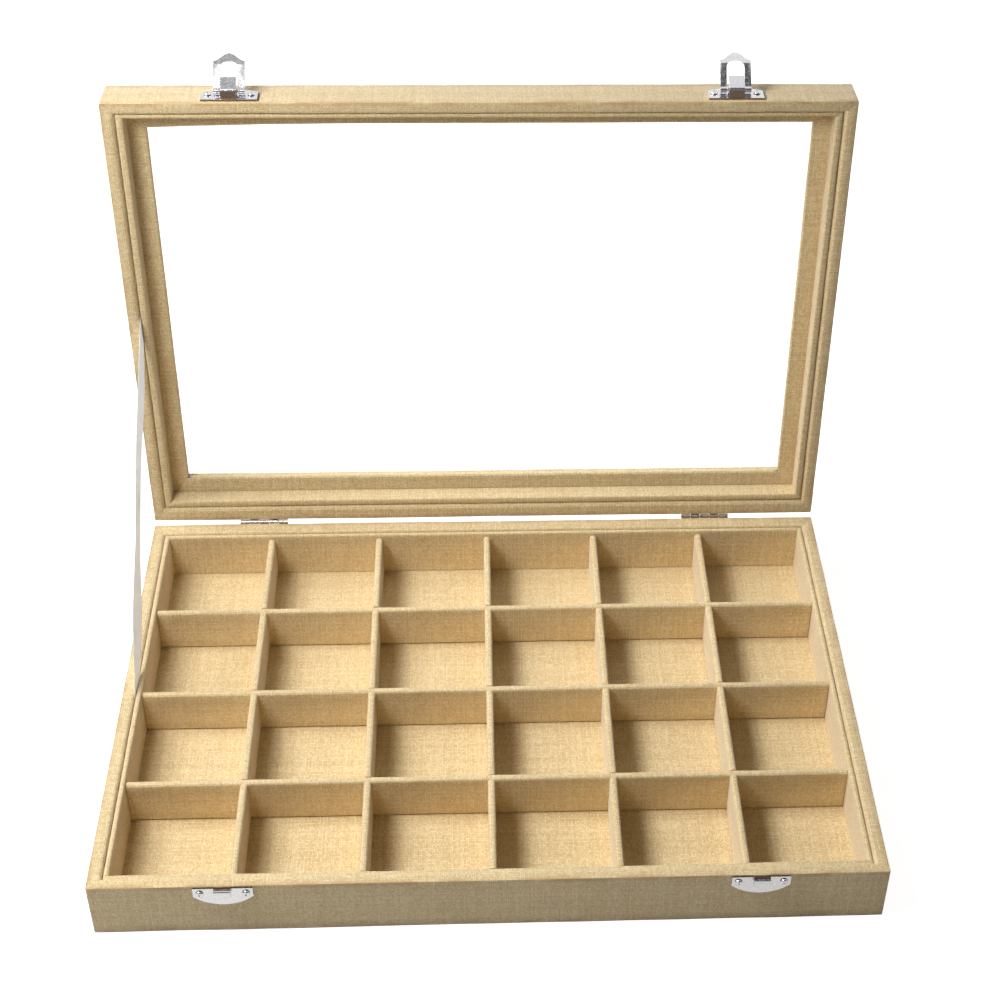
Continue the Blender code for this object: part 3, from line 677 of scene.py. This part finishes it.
# Each plating: its tint, and how much duller it is than the settings say. Some tints are painted shade and
# reflection, as noted beside them.
PLATINGS = {
    "bright_nickel": ((1, 1, 1), 1.0),
    # Painted reflection of the shaded linen, brown, on the tongues' feet
    "worn_nickel": ((0.34, 0.24, 0.17), 1.5),
    # Painted shade and reflection, near black, on the catches' top edges, fold crowns and hook edges
    "dark_nickel": ((0.11, 0.07, 0.05), 1.6),
    "catch_nickel": ((0.95, 0.945, 0.91), 1.4),
    # The hinges are plated alike: their two tints, the right one darker and browner, are painted shade and
    # reflection
    "left_hinge_nickel": ((0.90, 0.84, 0.78), 1.8),
    "right_hinge_nickel": ((0.68, 0.60, 0.46), 1.8),
}


def plating(name):
    return shared(name, nickel, *PLATINGS[name])


def nickel(name, tint, dullness):
    """Plating with faint mottling and rubbing marks."""
    settings = bpy.context.scene.tray_fittings
    material, graph, shader = new_material(name)
    spot = graph.add("ShaderNodeTexCoord").outputs["Object"]
    mottle = graph.noise(spot, 900, 3)
    bright = [value * share for value, share in zip(settings.nickel, tint)]
    shade = [value * 0.86 for value in bright]
    rough = settings.polish * dullness
    graph.fill(shader, Base_Color=graph.blend(graph.span(mottle, 0.3, 0.7), colour(shade), colour(bright)),
               Roughness=graph.span(mottle, 0.3, 0.75, rough * 0.75, rough * 1.5), Metallic=1.0,
               Normal=graph.bump(graph.noise(spot, 5200, 2), 0.00001, 0.5))
    return material


def clear_glass():
    """A clear pane that lets lamps through."""
    material, graph, shader = new_material("clear_glass")
    spot = graph.add("ShaderNodeTexCoord").outputs["Object"]
    graph.fill(shader, Base_Color=(0.985, 0.995, 0.99, 1), Transmission_Weight=1.0, IOR=1.5,
               Roughness=graph.span(graph.noise(spot, 30, 3), 0.55, 0.8, 0.0, 0.02))
    through = graph.add("ShaderNodeBsdfTransparent")
    rays = graph.add("ShaderNodeLightPath")
    graph.show(graph.fill(graph.add("ShaderNodeMixShader"), rays.outputs["Is Shadow Ray"],
                          shader.outputs[0], through.outputs[0]))
    return material


def satin():
    """Smooth satin with fine ribs across the ribbon and a firm woven edge on both sides."""
    rib_pitch, selvedge = 0.00028, (0.0042, 0.0046)
    settings = bpy.context.scene.tray_ribbon
    material, graph, shader = new_material("white_satin")
    spot = graph.add("ShaderNodeUVMap", uv_map="cloth").outputs[0]
    x, y, _ = graph.parts(spot)
    ribs = graph.math("SINE", graph.times(x, 2 * pi / rib_pitch))
    weave = graph.times(graph.noise(spot, 2500, 2), 0.6, ribs)
    edge = graph.span(graph.math("ABSOLUTE", y), *selvedge)
    shade = colour([value * 0.88 for value in settings.satin])
    tone = graph.blend(graph.times(edge, 0.7), colour(settings.satin), shade)
    cloudy = graph.span(graph.noise(spot, 120, 2), 0.3, 0.7)
    graph.fill(shader, Base_Color=graph.blend(graph.times(cloudy, 0.35), tone, shade),
               Roughness=graph.span(weave, -1.0, 1.5, 0.30, 0.48), Sheen_Weight=0.3, Sheen_Roughness=0.3,
               Subsurface_Weight=0.9, Subsurface_Radius=(1, 1, 1), Subsurface_Scale=0.003,
               Normal=graph.bump(weave, 0.00003, 0.5))
    return material


# Base

class TRAY_OT_base_cover(bpy.types.Operator):
    """Wrap the four walls of the base in one cloth, mitred at the corners of its rim"""

    bl_idname = "tray.base_cover"
    bl_label = "Base walls"

    def execute(self, context):
        boards = context.scene.tray_boards
        outer = (HALF_WIDTH, -HALF_DEPTH, HALF_DEPTH)
        inner = (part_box("base_right_wall")[0].x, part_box("base_front_wall")[1].y,
                 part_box("base_rear_wall")[0].y)
        cover = ring("base_cover", [(*outer, 0.0), (*outer, BASE_RIM), (*inner, BASE_RIM), (*inner, 0.0)])
        with editing(cover):
            cut_finely(cover)
            round_walls(cover, outer, inner, BASE_RIM, boards.seam_rounding)
            round_rim(cover, 0.0, UNDERSIDE_ROUNDING, inner, inside=False, segments=2)
            crease_corners(cover, outer, inner, BASE_RIM, 1, boards.fold_depth)
        ripple(cover, 0.030, boards.waviness)
        map_cloth(cover)
        mark_wear(cover, (-HALF_WIDTH, -HALF_DEPTH, 0), (HALF_WIDTH, HALF_DEPTH, BASE_RIM))
        finish_cloth(cover, "base", [f"base_{side}_wall" for side in SIDES])
        return {"FINISHED"}


def liner(name, boxes, rim, far):
    """Four liner boards in one cloth-covered frame, rounded at the rim, from three of the boards' boxes."""
    front, rear, side = boxes
    outer = (side[1].x + SEAM_FILL, front[0].y - SEAM_FILL, rear[1].y + SEAM_FILL)
    inner = (side[0].x, front[1].y, rear[0].y)
    low, high = min(rim, far), max(rim, far)
    rounding = bpy.context.scene.tray_boards.liner_rounding
    piece = ring(name, [(*outer, low), (*outer, high), (*inner, high), (*inner, low)])
    with editing(piece):
        cut_finely(piece)
        round_rim(piece, rim, rounding)
        crease_corners(piece, outer, inner, rim, 1 if rim == high else -1, rounding / 4)
    return piece


class TRAY_OT_base_liner(bpy.types.Operator):
    """Line the base's walls with four cloth-covered boards"""

    bl_idname = "tray.base_liner"
    bl_label = "Base liners"

    def execute(self, context):
        boards = context.scene.tray_boards
        front, rear, side = (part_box(f"base_{name}_liner") for name in ("front", "rear", "right"))
        rim = front[1].z - boards.liner_drop
        middle_half, rim_depth = 0.004, 0.0002
        piece = liner("base_liners", (front, rear, side), rim, front[0].z)
        with editing(piece):
            pick(piece, "VERT", lambda vert: abs(vert.co.x) < middle_half
                 and vert.co.y < front[1].y + MERGE and vert.co.z > rim - rim_depth)
            bpy.ops.transform.translate(value=(0, 0, -boards.front_dip),
                                        **proportional(DIP_REACH, connected=True))
        ripple(piece, 0.025, boards.waviness * 0.6)
        map_cloth(piece)
        finish_cloth(piece, "base", [f"base_{name}_liner" for name in SIDES])
        return {"FINISHED"}


class TRAY_OT_dividers(bpy.types.Operator):
    """Cover the strips that divide the tray, halved into each other where they cross"""

    bl_idname = "tray.dividers"
    bl_label = "Dividers"

    def execute(self, context):
        nodes = sorted(name for name in frame["nodes"] if "_divider_" in name)
        longs = [name for name in nodes if name.startswith("long")]
        shorts = [name for name in nodes if name.startswith("short")]
        for name in nodes:
            crossing = shorts if name in longs else longs
            make_divider(context.scene.tray_boards, name, 0 if name in longs else 1, crossing)
        return {"FINISHED"}


def make_divider(boards, node, along, crossing):
    low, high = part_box(node)
    across = 1 - along
    strip = new_box(node + "_cloth", low, high)
    with editing(strip):
        for axis, step in zip((along, 2), DIVIDER_STEPS):
            cut_lengths(strip, axis, step)
        for height, share, segments in ((high.z, 1.0, 5), (low.z, 0.7, 3)):
            round_edges(strip, lambda edge: is_sharp(edge) and runs_along(edge, along)
                        and on_level(middle(edge), height), boards.divider_rounding * share, segments)
    half_height = (low.z + high.z) / 2
    past_side, past_edge = TOOL_OVERSHOOT
    if along == 0:
        floor, top = low.z - past_edge, half_height + GAP / 2
    else:
        floor, top = half_height - GAP / 2, high.z + past_edge
    tools = []
    for other in crossing:
        other_low, other_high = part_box(other)
        spot = (other_low + other_high) / 2
        half = (other_high - other_low)[along] / 2 - SLOT_LAP
        corner_a, corner_b = Vector((0, 0, floor)), Vector((0, 0, top))
        corner_a[along], corner_b[along] = spot[along] - half, spot[along] + half
        corner_a[across], corner_b[across] = low[across] - past_side, high[across] + past_side
        tools.append(new_box("slot_tool", corner_a, corner_b))
    activate(*tools)
    bpy.ops.object.join()
    cut_out(strip, bpy.context.object)
    ripple(strip, 0.16, boards.waviness * 1.6, "Y" if along == 0 else "X")
    ripple(strip, 0.018, boards.waviness * 0.35)
    map_cloth(strip, along)
    finish_cloth(strip, "base", [node])


class TRAY_OT_floor(bpy.types.Operator):
    """Lay linen on the tray's floor and under its base"""

    bl_idname = "tray.floor"
    bl_label = "Floor and underside"

    def execute(self, context):
        for node in ("floor_lining", "base_panel"):
            repaint(node, shared("natural_linen_flat", linen, False))
        return {"FINISHED"}


# Lid

def shut_points(*nodes):
    """The points of some of the lid's solids, turned back to where they lie when it is shut."""
    back = OPEN_LID.inverted()
    return [back @ vert.co for node in nodes for vert in frame["nodes"][node].data.vertices]


def shut_box(*nodes):
    """The box round some of the lid's solids, where they lie when it is shut."""
    spots = shut_points(*nodes)
    return [Vector([end(spot[axis] for spot in spots) for axis in range(3)]) for end in (min, max)]


def lid_window(setback=0.0):
    """The window's limits at the inner frame, or that much further back."""
    margin = 0.004
    low, high = shut_box("lid_inner_frame")
    inside = [spot for spot in shut_points("lid_inner_frame")
              if all(low[axis] + margin < spot[axis] < high[axis] - margin for axis in (0, 1))]
    deep = [spot.y for spot in inside]
    return max(abs(spot.x) for spot in inside) + setback, min(deep) - setback, max(deep) + setback


class TRAY_OT_lid_cover(bpy.types.Operator):
    """Wrap the lid's rails and its top in one cloth, turned in round the window"""

    bl_idname = "tray.lid_cover"
    bl_label = "Lid rails and top"

    def execute(self, context):
        boards = context.scene.tray_boards
        front, rear, side = (shut_box(f"lid_{name}_rail") for name in ("front", "rear", "right"))
        rim = front[0].z
        top = shut_box("lid_top_frame")[1].z
        lip = shut_box("glass_pane")[1].z + GAP
        outer = (HALF_WIDTH, -HALF_DEPTH, HALF_DEPTH)
        inner = (side[0].x, front[1].y, rear[0].y)
        window = lid_window(TOP_WINDOW_SETBACK)
        cover = ring("lid_cover", [(*outer, rim), (*outer, top), (*window, top), (*window, lip),
                                   (*inner, lip), (*inner, rim)])
        with editing(cover):
            cut_finely(cover)
            round_walls(cover, outer, inner, rim, boards.lid_seam_rounding)
            round_rim(cover, top, boards.rim_rounding)
            crease_corners(cover, outer, inner, rim, -1, boards.fold_depth)
        ripple(cover, 0.030, boards.waviness)
        map_cloth(cover)
        mark_wear(cover, (-HALF_WIDTH, -HALF_DEPTH, rim), (HALF_WIDTH, HALF_DEPTH, top))
        finish_cloth(cover, "lid", [f"lid_{name}_rail" for name in SIDES] + ["lid_top_frame"])
        return {"FINISHED"}


class TRAY_OT_lid_liner(bpy.types.Operator):
    """Line the lid's rails with four cloth-covered boards"""

    bl_idname = "tray.lid_liner"
    bl_label = "Lid liners"

    def execute(self, context):
        boards = context.scene.tray_boards
        front, rear, side = (shut_box(f"lid_{name}_liner") for name in ("front", "rear", "right"))
        piece = liner("lid_liners", (front, rear, side), front[0].z + boards.lid_liner_drop, front[1].z)
        ripple(piece, 0.025, boards.waviness * 0.6)
        map_cloth(piece)
        finish_cloth(piece, "lid", [f"lid_{name}_liner" for name in SIDES])
        return {"FINISHED"}


class TRAY_OT_lid_frame(bpy.types.Operator):
    """Cover the frame that holds the glass, mitred at the corners and rounded round the window"""

    bl_idname = "tray.lid_frame"
    bl_label = "Frame round the glass"

    def execute(self, context):
        boards = context.scene.tray_boards
        low, high = shut_box("lid_inner_frame")
        outer = (high.x, low.y, high.y)
        window = lid_window()
        sloped = lid_window(WINDOW_SLOPE)
        piece = ring("lid_glass_frame", [(*outer, low.z), (*outer, high.z),
                                         (*sloped, high.z), (*window, low.z)])
        corner, near_corner = Vector((-window[0], window[1], 0)), 0.0015
        with editing(piece):
            cut_finely(piece, (0, 1))
            round_rim(piece, low.z, WINDOW_ROUNDING, window)
            crease_corners(piece, outer, window, low.z, -1, boards.fold_depth * 0.7)
            pick(piece, "VERT", lambda vert: (vert.co - corner).xy.length < near_corner)
            bpy.ops.transform.translate(value=(0, boards.corner_sag, 0),
                                        **proportional(SAG_REACH, "SHARP", connected=True))
        ripple(piece, 0.025, boards.waviness * 0.5)
        map_cloth(piece)
        # Painted shade at the window's two rear corners
        paint_corner_shade(piece, [(sign * window[0], window[2], low.z) for sign in (-1, 1)])
        finish_cloth(piece, "lid", ["lid_inner_frame"])
        return {"FINISHED"}


class TRAY_OT_glass(bpy.types.Operator):
    """Glaze the lid"""

    bl_idname = "tray.glass"
    bl_label = "Glass"

    def execute(self, context):
        repaint("glass_pane", clear_glass())
        return {"FINISHED"}


# Fittings

def dressed_copy(node, body, finish="bright_nickel"):
    """A merged copy of a metal solid with its edges broken, which stands for it."""
    copy = copy_of(frame["nodes"][node], node + "_bright")
    with editing(copy):
        bpy.ops.mesh.select_all(action="SELECT")
        bpy.ops.mesh.remove_doubles(threshold=MERGE)
        bpy.ops.mesh.dissolve_limited(angle_limit=radians(1))
    edge = copy.modifiers.new("edge", "BEVEL")
    edge.width = bpy.context.scene.tray_fittings.edge
    edge.segments = 2
    edge.limit_method = "ANGLE"
    edge.angle_limit = radians(50)
    apply_modifier(copy, edge)
    set_finish(copy, plating(finish), 35)
    even = copy.modifiers.new("even_faces", "WEIGHTED_NORMAL")
    even.keep_sharp = True
    even.weight = 100
    apply_modifier(copy, even)
    stand_in(copy, body, [node])
    return copy


class TRAY_OT_hinges(bpy.types.Operator):
    """Plate the two butt hinges and break their edges"""

    bl_idname = "tray.hinges"
    bl_label = "Hinges"

    def execute(self, context):
        for side in ("left", "right"):
            for piece, body in (("base_leaf", "base"), ("lid_leaf", "lid"), ("pin", "base")):
                # Each hinge's own tint is painted shade and reflection, darker and browner on the right
                dressed_copy(f"{side}_hinge_{piece}", body, f"{side}_hinge_nickel")
        return {"FINISHED"}


class TRAY_OT_latches(bpy.types.Operator):
    """Plate both halves of the latches and break their edges"""

    bl_idname = "tray.latches"
    bl_label = "Latches"

    def execute(self, context):
        for side in ("left", "right"):
            paint_catch_shade(dressed_copy(f"{side}_latch_catch", "base", "catch_nickel"))
            paint_tongue_foot_shade(dressed_copy(f"{side}_latch_lid_plate", "lid"))
            dressed_copy(f"{side}_latch_pin", "lid")
            dressed_copy(f"{side}_latch_hasp", f"{side}_hasp")
        return {"FINISHED"}


def centre_of(piece):
    return sum((Vector(corner) for corner in piece.bound_box), Vector()) / 8


def paint_catch_shade(catch):
    """Paint a catch's shade: a painted shadow line along its top edge, a painted dark reflection on the crown
    of its fold, and painted shadow round the edges and underside of its hook.
    """
    # The second material is painted shade and reflection, near black
    catch.data.materials.append(plating("dark_nickel"))
    top = max(vert.co.z for vert in catch.data.vertices)
    centre = centre_of(catch)
    for face in catch.data.polygons:
        on_top = face.normal.z > 0.78 and face.center.z > top - CATCH_CROWN
        on_hook = abs(face.center.x - centre.x) < HOOK_HALF and face.center.y < centre.y
        if on_top or on_hook and (abs(face.normal.x) > 0.7 or face.normal.z < -0.7):
            face.material_index = 1


def paint_tongue_foot_shade(plate):
    """Give the foot of the sprung tongue painted shade: a brown that stands for the shaded linen mirrored in
    its bend.
    """
    # The second material is painted shade and reflection, brown
    plate.data.materials.append(plating("worn_nickel"))
    centre = centre_of(plate)
    back = OPEN_LID.inverted()
    turn = back.to_3x3()
    worn = 0
    for face in plate.data.polygons:
        spot, facing = back @ face.center, turn @ face.normal
        if (abs(spot.x - centre.x) < TONGUE_HALF and facing.z < -0.9
                and FOOT_OUTER < spot.y < FOOT_INNER and spot.z < BASE_RIM + FOOT_RISE):
            face.material_index = 1
            worn += 1
    if not worn:
        raise ValueError(f"{plate.name}: no foot found")


def model_screw():
    """One round-headed screw on the Z axis, its head's underside at the origin, with a cross recess."""
    half_length, half_width, above_head = 0.00095, 0.00019, 0.002
    deselect()
    bpy.ops.mesh.primitive_uv_sphere_add(segments=32, ring_count=16, radius=SCREW_HEAD_RADIUS)
    screw = bpy.context.object
    screw.name = "screw_pattern"
    with editing(screw):
        bpy.ops.mesh.select_all(action="SELECT")
        bpy.ops.mesh.bisect(plane_co=(0, 0, 0), plane_no=(0, 0, 1), use_fill=True, clear_inner=True)
        bpy.ops.mesh.select_all(action="SELECT")
        bpy.ops.transform.resize(value=(1, 1, SCREW_HEAD_HEIGHT / SCREW_HEAD_RADIUS),
                                 center_override=(0, 0, 0))
        pick(screw, "FACE", lambda face: face.normal.z < -0.9)
        bpy.ops.mesh.inset(thickness=SCREW_HEAD_RADIUS - SCREW_SHANK_RADIUS)
        bpy.ops.mesh.extrude_region_move(TRANSFORM_OT_translate={"value": (0, 0, -SCREW_LENGTH)})
        bpy.ops.mesh.inset(thickness=SCREW_SHANK_RADIUS * 0.7)
        bpy.ops.transform.translate(value=(0, 0, -SCREW_SHANK_RADIUS))
    bottom = SCREW_HEAD_HEIGHT - bpy.context.scene.tray_fittings.recess
    first = new_box("cross_tool", (-half_length, -half_width, bottom), (half_length, half_width, above_head))
    with editing(first):
        pick(first, "FACE", lambda face: face.normal.z < -0.9)
        bpy.ops.transform.resize(value=(0.35, 0.8, 1), center_override=(0, 0, 0))
    second = copy_of(first, "cross_tool_2")
    second.rotation_euler.z = pi / 2
    apply_place(second)
    for tool in (first, second):
        cut_out(screw, tool)
    return screw


class TRAY_OT_screws(bpy.types.Operator):
    """Drive a cross-headed screw where each solid one is"""

    bl_idname = "tray.screws"
    bl_label = "Screws"

    def execute(self, context):
        first_turn, next_turn = 0.7, 1.9
        pattern = model_screw()
        for number, node in enumerate(sorted(name for name in frame["nodes"] if "_screw_" in name)):
            on_lid = "_lid_screw_" in node
            low, high = shut_box(node) if on_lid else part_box(node)
            outwards = -1 if "_latch_" in node else 1
            head = low.y + SCREW_HEAD_HEIGHT if outwards < 0 else high.y - SCREW_HEAD_HEIGHT
            spot = Vector(((low.x + high.x) / 2, head, (low.z + high.z) / 2))
            tip = Vector((0, 0, 1)).rotation_difference(Vector((0, outwards, 0))).to_matrix().to_4x4()
            turn = Matrix.Rotation(first_turn + next_turn * number, 4, "Z")
            place = Matrix.Translation(spot) @ tip @ turn
            screw = copy_of(pattern, node + "_bright")
            screw.matrix_world = OPEN_LID @ place if on_lid else place
            apply_place(screw)
            set_finish(screw, plating("bright_nickel"), 35)
            stand_in(screw, "lid" if on_lid else "base", [node])
        bpy.data.objects.remove(pattern)
        return {"FINISHED"}


# Ribbon

class TRAY_OT_ribbon(bpy.types.Operator):
    """Hang the satin ribbon between the seams of the base and the lid"""

    bl_idname = "tray.ribbon"
    bl_label = "Ribbon stay"

    def execute(self, context):
        lower = Vector((0, HINGE.y - RIBBON_FROM_AXIS, BASE_RIM))
        upper = OPEN_LID @ Vector((0, HINGE.y - RIBBON_FROM_AXIS, BASE_RIM + GAP))
        along = (upper - lower).normalized()
        width, length = RIBBON_WIDTH, (upper - lower).length + 2 * RIBBON_TUCK
        deselect()
        bpy.ops.mesh.primitive_plane_add(size=1)
        ribbon = bpy.context.object
        ribbon.name = "satin_ribbon"
        ribbon.scale = (length, width, 1)
        apply_place(ribbon)
        with editing(ribbon):
            for axis, cuts in ((0, 95), (1, 7)):
                pick(ribbon, "EDGE", lambda edge: runs_along(edge, axis))
                bpy.ops.mesh.subdivide(number_cuts=cuts)
            bow_ribbon(ribbon, length)
        layer = ribbon.data.uv_layers.new(name="cloth")
        for loop in ribbon.data.loops:
            layer.data[loop.index].uv = ribbon.data.vertices[loop.vertex_index].co.xy
        thick = ribbon.modifiers.new("thickness", "SOLIDIFY")
        thick.thickness = context.scene.tray_ribbon.thickness
        thick.offset = 0
        apply_modifier(ribbon, thick)
        seam = sum(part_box("ribbon_stay"), Vector()) / 2
        turn = Matrix(((0, 0, 1), (along.y, -along.z, 0), (along.z, along.y, 0))).to_4x4()
        centre = (lower + upper) / 2
        centre.x = (seam.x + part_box("base_left_liner")[0].x) / 2
        ribbon.matrix_world = Matrix.Translation(centre) @ turn
        apply_place(ribbon)
        set_finish(ribbon, satin(), 60)
        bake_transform(ribbon)
        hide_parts("ribbon_stay")
        return {"FINISHED"}


def bow_ribbon(ribbon, length):
    """In edit mode, give the ribbon a slight bow and twist, as cloth has even when it is taut.

    Places and reaches are shares of its length, from its middle.
    """
    def pick_across(place):
        pick(ribbon, "VERT", lambda vert: abs(vert.co.x - place * length) < length / 120)

    for place, reach, lift in ((0.08, 0.34, -0.0007), (-0.22, 0.20, -0.0004), (0.30, 0.16, 0.0003)):
        pick_across(place)
        bpy.ops.transform.translate(value=(0, 0, lift), **proportional(reach * length))
    for place, reach, turn in ((-0.29, 0.24, 0.24), (0.02, 0.26, 0.06), (0.27, 0.24, 0.13)):
        pick_across(place)
        bpy.ops.transform.rotate(value=turn, orient_axis="X", center_override=(0, 0, 0),
                                 **proportional(reach * length))


# Stage

class TRAY_OT_stage(bpy.types.Operator):
    """Set the floor, the lamps, the surroundings and the camera"""

    bl_idname = "tray.stage"
    bl_label = "Floor, light and camera"

    def execute(self, context):
        settings = context.scene.tray_stage
        make_floor(settings)
        make_lamps(settings)
        make_surroundings(context.scene, settings)
        make_camera(context.scene, settings)
        context.scene.view_settings.view_transform = "Standard"
        return {"FINISHED"}


def seen_plainly(graph):
    """1 for rays from the camera, through the glass and off bright metal, 0 for light that lands on cloth."""
    rays = graph.add("ShaderNodeLightPath")
    seen = graph.math("MAXIMUM", rays.outputs["Is Camera Ray"], rays.outputs["Is Transmission Ray"])
    return graph.math("MAXIMUM", seen, rays.outputs["Is Glossy Ray"])


def mirrored(graph):
    """1 for rays off a shiny surface, 0 for those that come through the glass."""
    rays = graph.add("ShaderNodeLightPath").outputs
    return graph.math("SUBTRACT", rays["Is Glossy Ray"], rays["Is Transmission Ray"], clamp=True)


def make_floor(settings):
    size, drop = 12, 0.0001
    deselect()
    bpy.ops.mesh.primitive_plane_add(size=size, location=(0, 0, -drop))
    floor = bpy.context.object
    floor.name = "floor"
    apply_place(floor)
    material, graph, shader = new_material("pale_floor")
    graph.fill(shader, Base_Color=colour(settings.floor), Roughness=0.6)
    glow = graph.add("ShaderNodeEmission")
    glow_seen = graph.times(mirrored(graph), -0.75 * settings.glow, settings.glow)
    graph.fill(glow, Strength=graph.times(seen_plainly(graph), glow_seen))
    graph.show(graph.fill(graph.add("ShaderNodeAddShader"), shader.outputs[0], glow.outputs[0]))
    floor.data.materials.append(material)


def make_lamps(settings):
    """Three soft lamps on the tray's left, with their shares of the light."""
    for name, spot, size, share in (("high_lamp", (-1.12, 0.18, 1.55), 0.75, 0.894),
                                    ("near_lamp", (-0.31, -0.15, 0.58), 0.22, 0.095),
                                    ("side_lamp", (-0.7, -0.1, 0.5), 0.35, 0.011)):
        lamp = bpy.data.lights.new(name, "AREA")
        lamp.shape = "DISK"
        lamp.size = size
        lamp.energy = settings.lamps * share
        holder = bpy.data.objects.new(name, lamp)
        holder.location = spot
        holder.rotation_euler = (Vector((0, 0.05, 0.05)) - Vector(spot)).to_track_quat("-Z", "Y").to_euler()
        bpy.context.scene.collection.objects.link(holder)


def make_surroundings(scene, settings):
    """White all round, but for the dark side of the room above the camera, which bright metal mirrors."""
    world = bpy.data.worlds.new("pale_studio")
    scene.world = world
    world.use_nodes = True
    graph = Graph(world.node_tree)
    x, y, z = graph.parts(graph.add("ShaderNodeTexCoord").outputs["Generated"])
    dark = graph.times(graph.span(x, -0.02, 0.08), graph.span(z, 0.30, 0.42))
    horizon = graph.times(graph.span(z, -0.10, -0.04), graph.span(z, 0.40, 0.50, 1.0, 0.0))
    dark = graph.math("MAXIMUM", dark, horizon)
    dark = graph.times(dark, graph.span(y, -0.4, -0.2, 1.0, 0.0))
    overhead = graph.times(graph.span(z, 0.86, 0.96, 0.0, 0.6), graph.span(x, -0.1, 0.0, 1.0, 0.0))
    dark = graph.times(graph.math("MAXIMUM", dark, overhead), mirrored(graph))
    pale = graph.span(seen_plainly(graph), 0.0, 1.0, settings.sky, 1.0)
    graph.fill(world.node_tree.nodes["Background"], (1, 1, 1, 1), graph.times(dark, -0.9, pale))


def make_camera(scene, settings):
    camera = bpy.data.cameras.new("camera")
    camera.lens = settings.lens * 1000
    camera.sensor_width = CAMERA_SENSOR
    camera.shift_x, camera.shift_y = CAMERA_SHIFT
    holder = bpy.data.objects.new("camera", camera)
    holder.location = CAMERA_AT
    holder.rotation_euler = [radians(angle) for angle in CAMERA_TURN]
    scene.collection.objects.link(holder)
    scene.camera = holder


# Panel and registration

GROUPS = (
    ("tray_linen", LinenSettings),
    ("tray_boards", BoardSettings),
    ("tray_fittings", FittingSettings),
    ("tray_ribbon", RibbonSettings),
    ("tray_stage", StageSettings),
)
OPERATORS = (
    TRAY_OT_base_cover,
    TRAY_OT_base_liner,
    TRAY_OT_floor,
    TRAY_OT_dividers,
    TRAY_OT_lid_cover,
    TRAY_OT_lid_liner,
    TRAY_OT_lid_frame,
    TRAY_OT_glass,
    TRAY_OT_hinges,
    TRAY_OT_latches,
    TRAY_OT_screws,
    TRAY_OT_ribbon,
    TRAY_OT_stage,
)


class TRAY_PT_sidebar(bpy.types.Panel):
    """Lists the tray's settings and the operators that build it"""

    bl_idname = "TRAY_PT_sidebar"
    bl_label = "Linen display tray"
    bl_space_type = "VIEW_3D"
    bl_region_type = "UI"
    bl_category = "Tray"

    def draw(self, context):
        for attribute, group in GROUPS:
            box = self.layout.box()
            for name in group.__annotations__:
                box.prop(getattr(context.scene, attribute), name)
        for operator in OPERATORS:
            self.layout.operator(operator.bl_idname)


def register():
    for attribute, group in GROUPS:
        bpy.utils.register_class(group)
        setattr(bpy.types.Scene, attribute, PointerProperty(type=group))
    for operator in OPERATORS:
        bpy.utils.register_class(operator)
    bpy.utils.register_class(TRAY_PT_sidebar)


def unregister():
    bpy.utils.unregister_class(TRAY_PT_sidebar)
    for operator in reversed(OPERATORS):
        bpy.utils.unregister_class(operator)
    for attribute, group in reversed(GROUPS):
        delattr(bpy.types.Scene, attribute)
        bpy.utils.unregister_class(group)


def main():
    register()
    for operator in OPERATORS:
        group, name = operator.bl_idname.split(".")
        getattr(getattr(bpy.ops, group), name)()


if __name__ == "__main__":
    main()
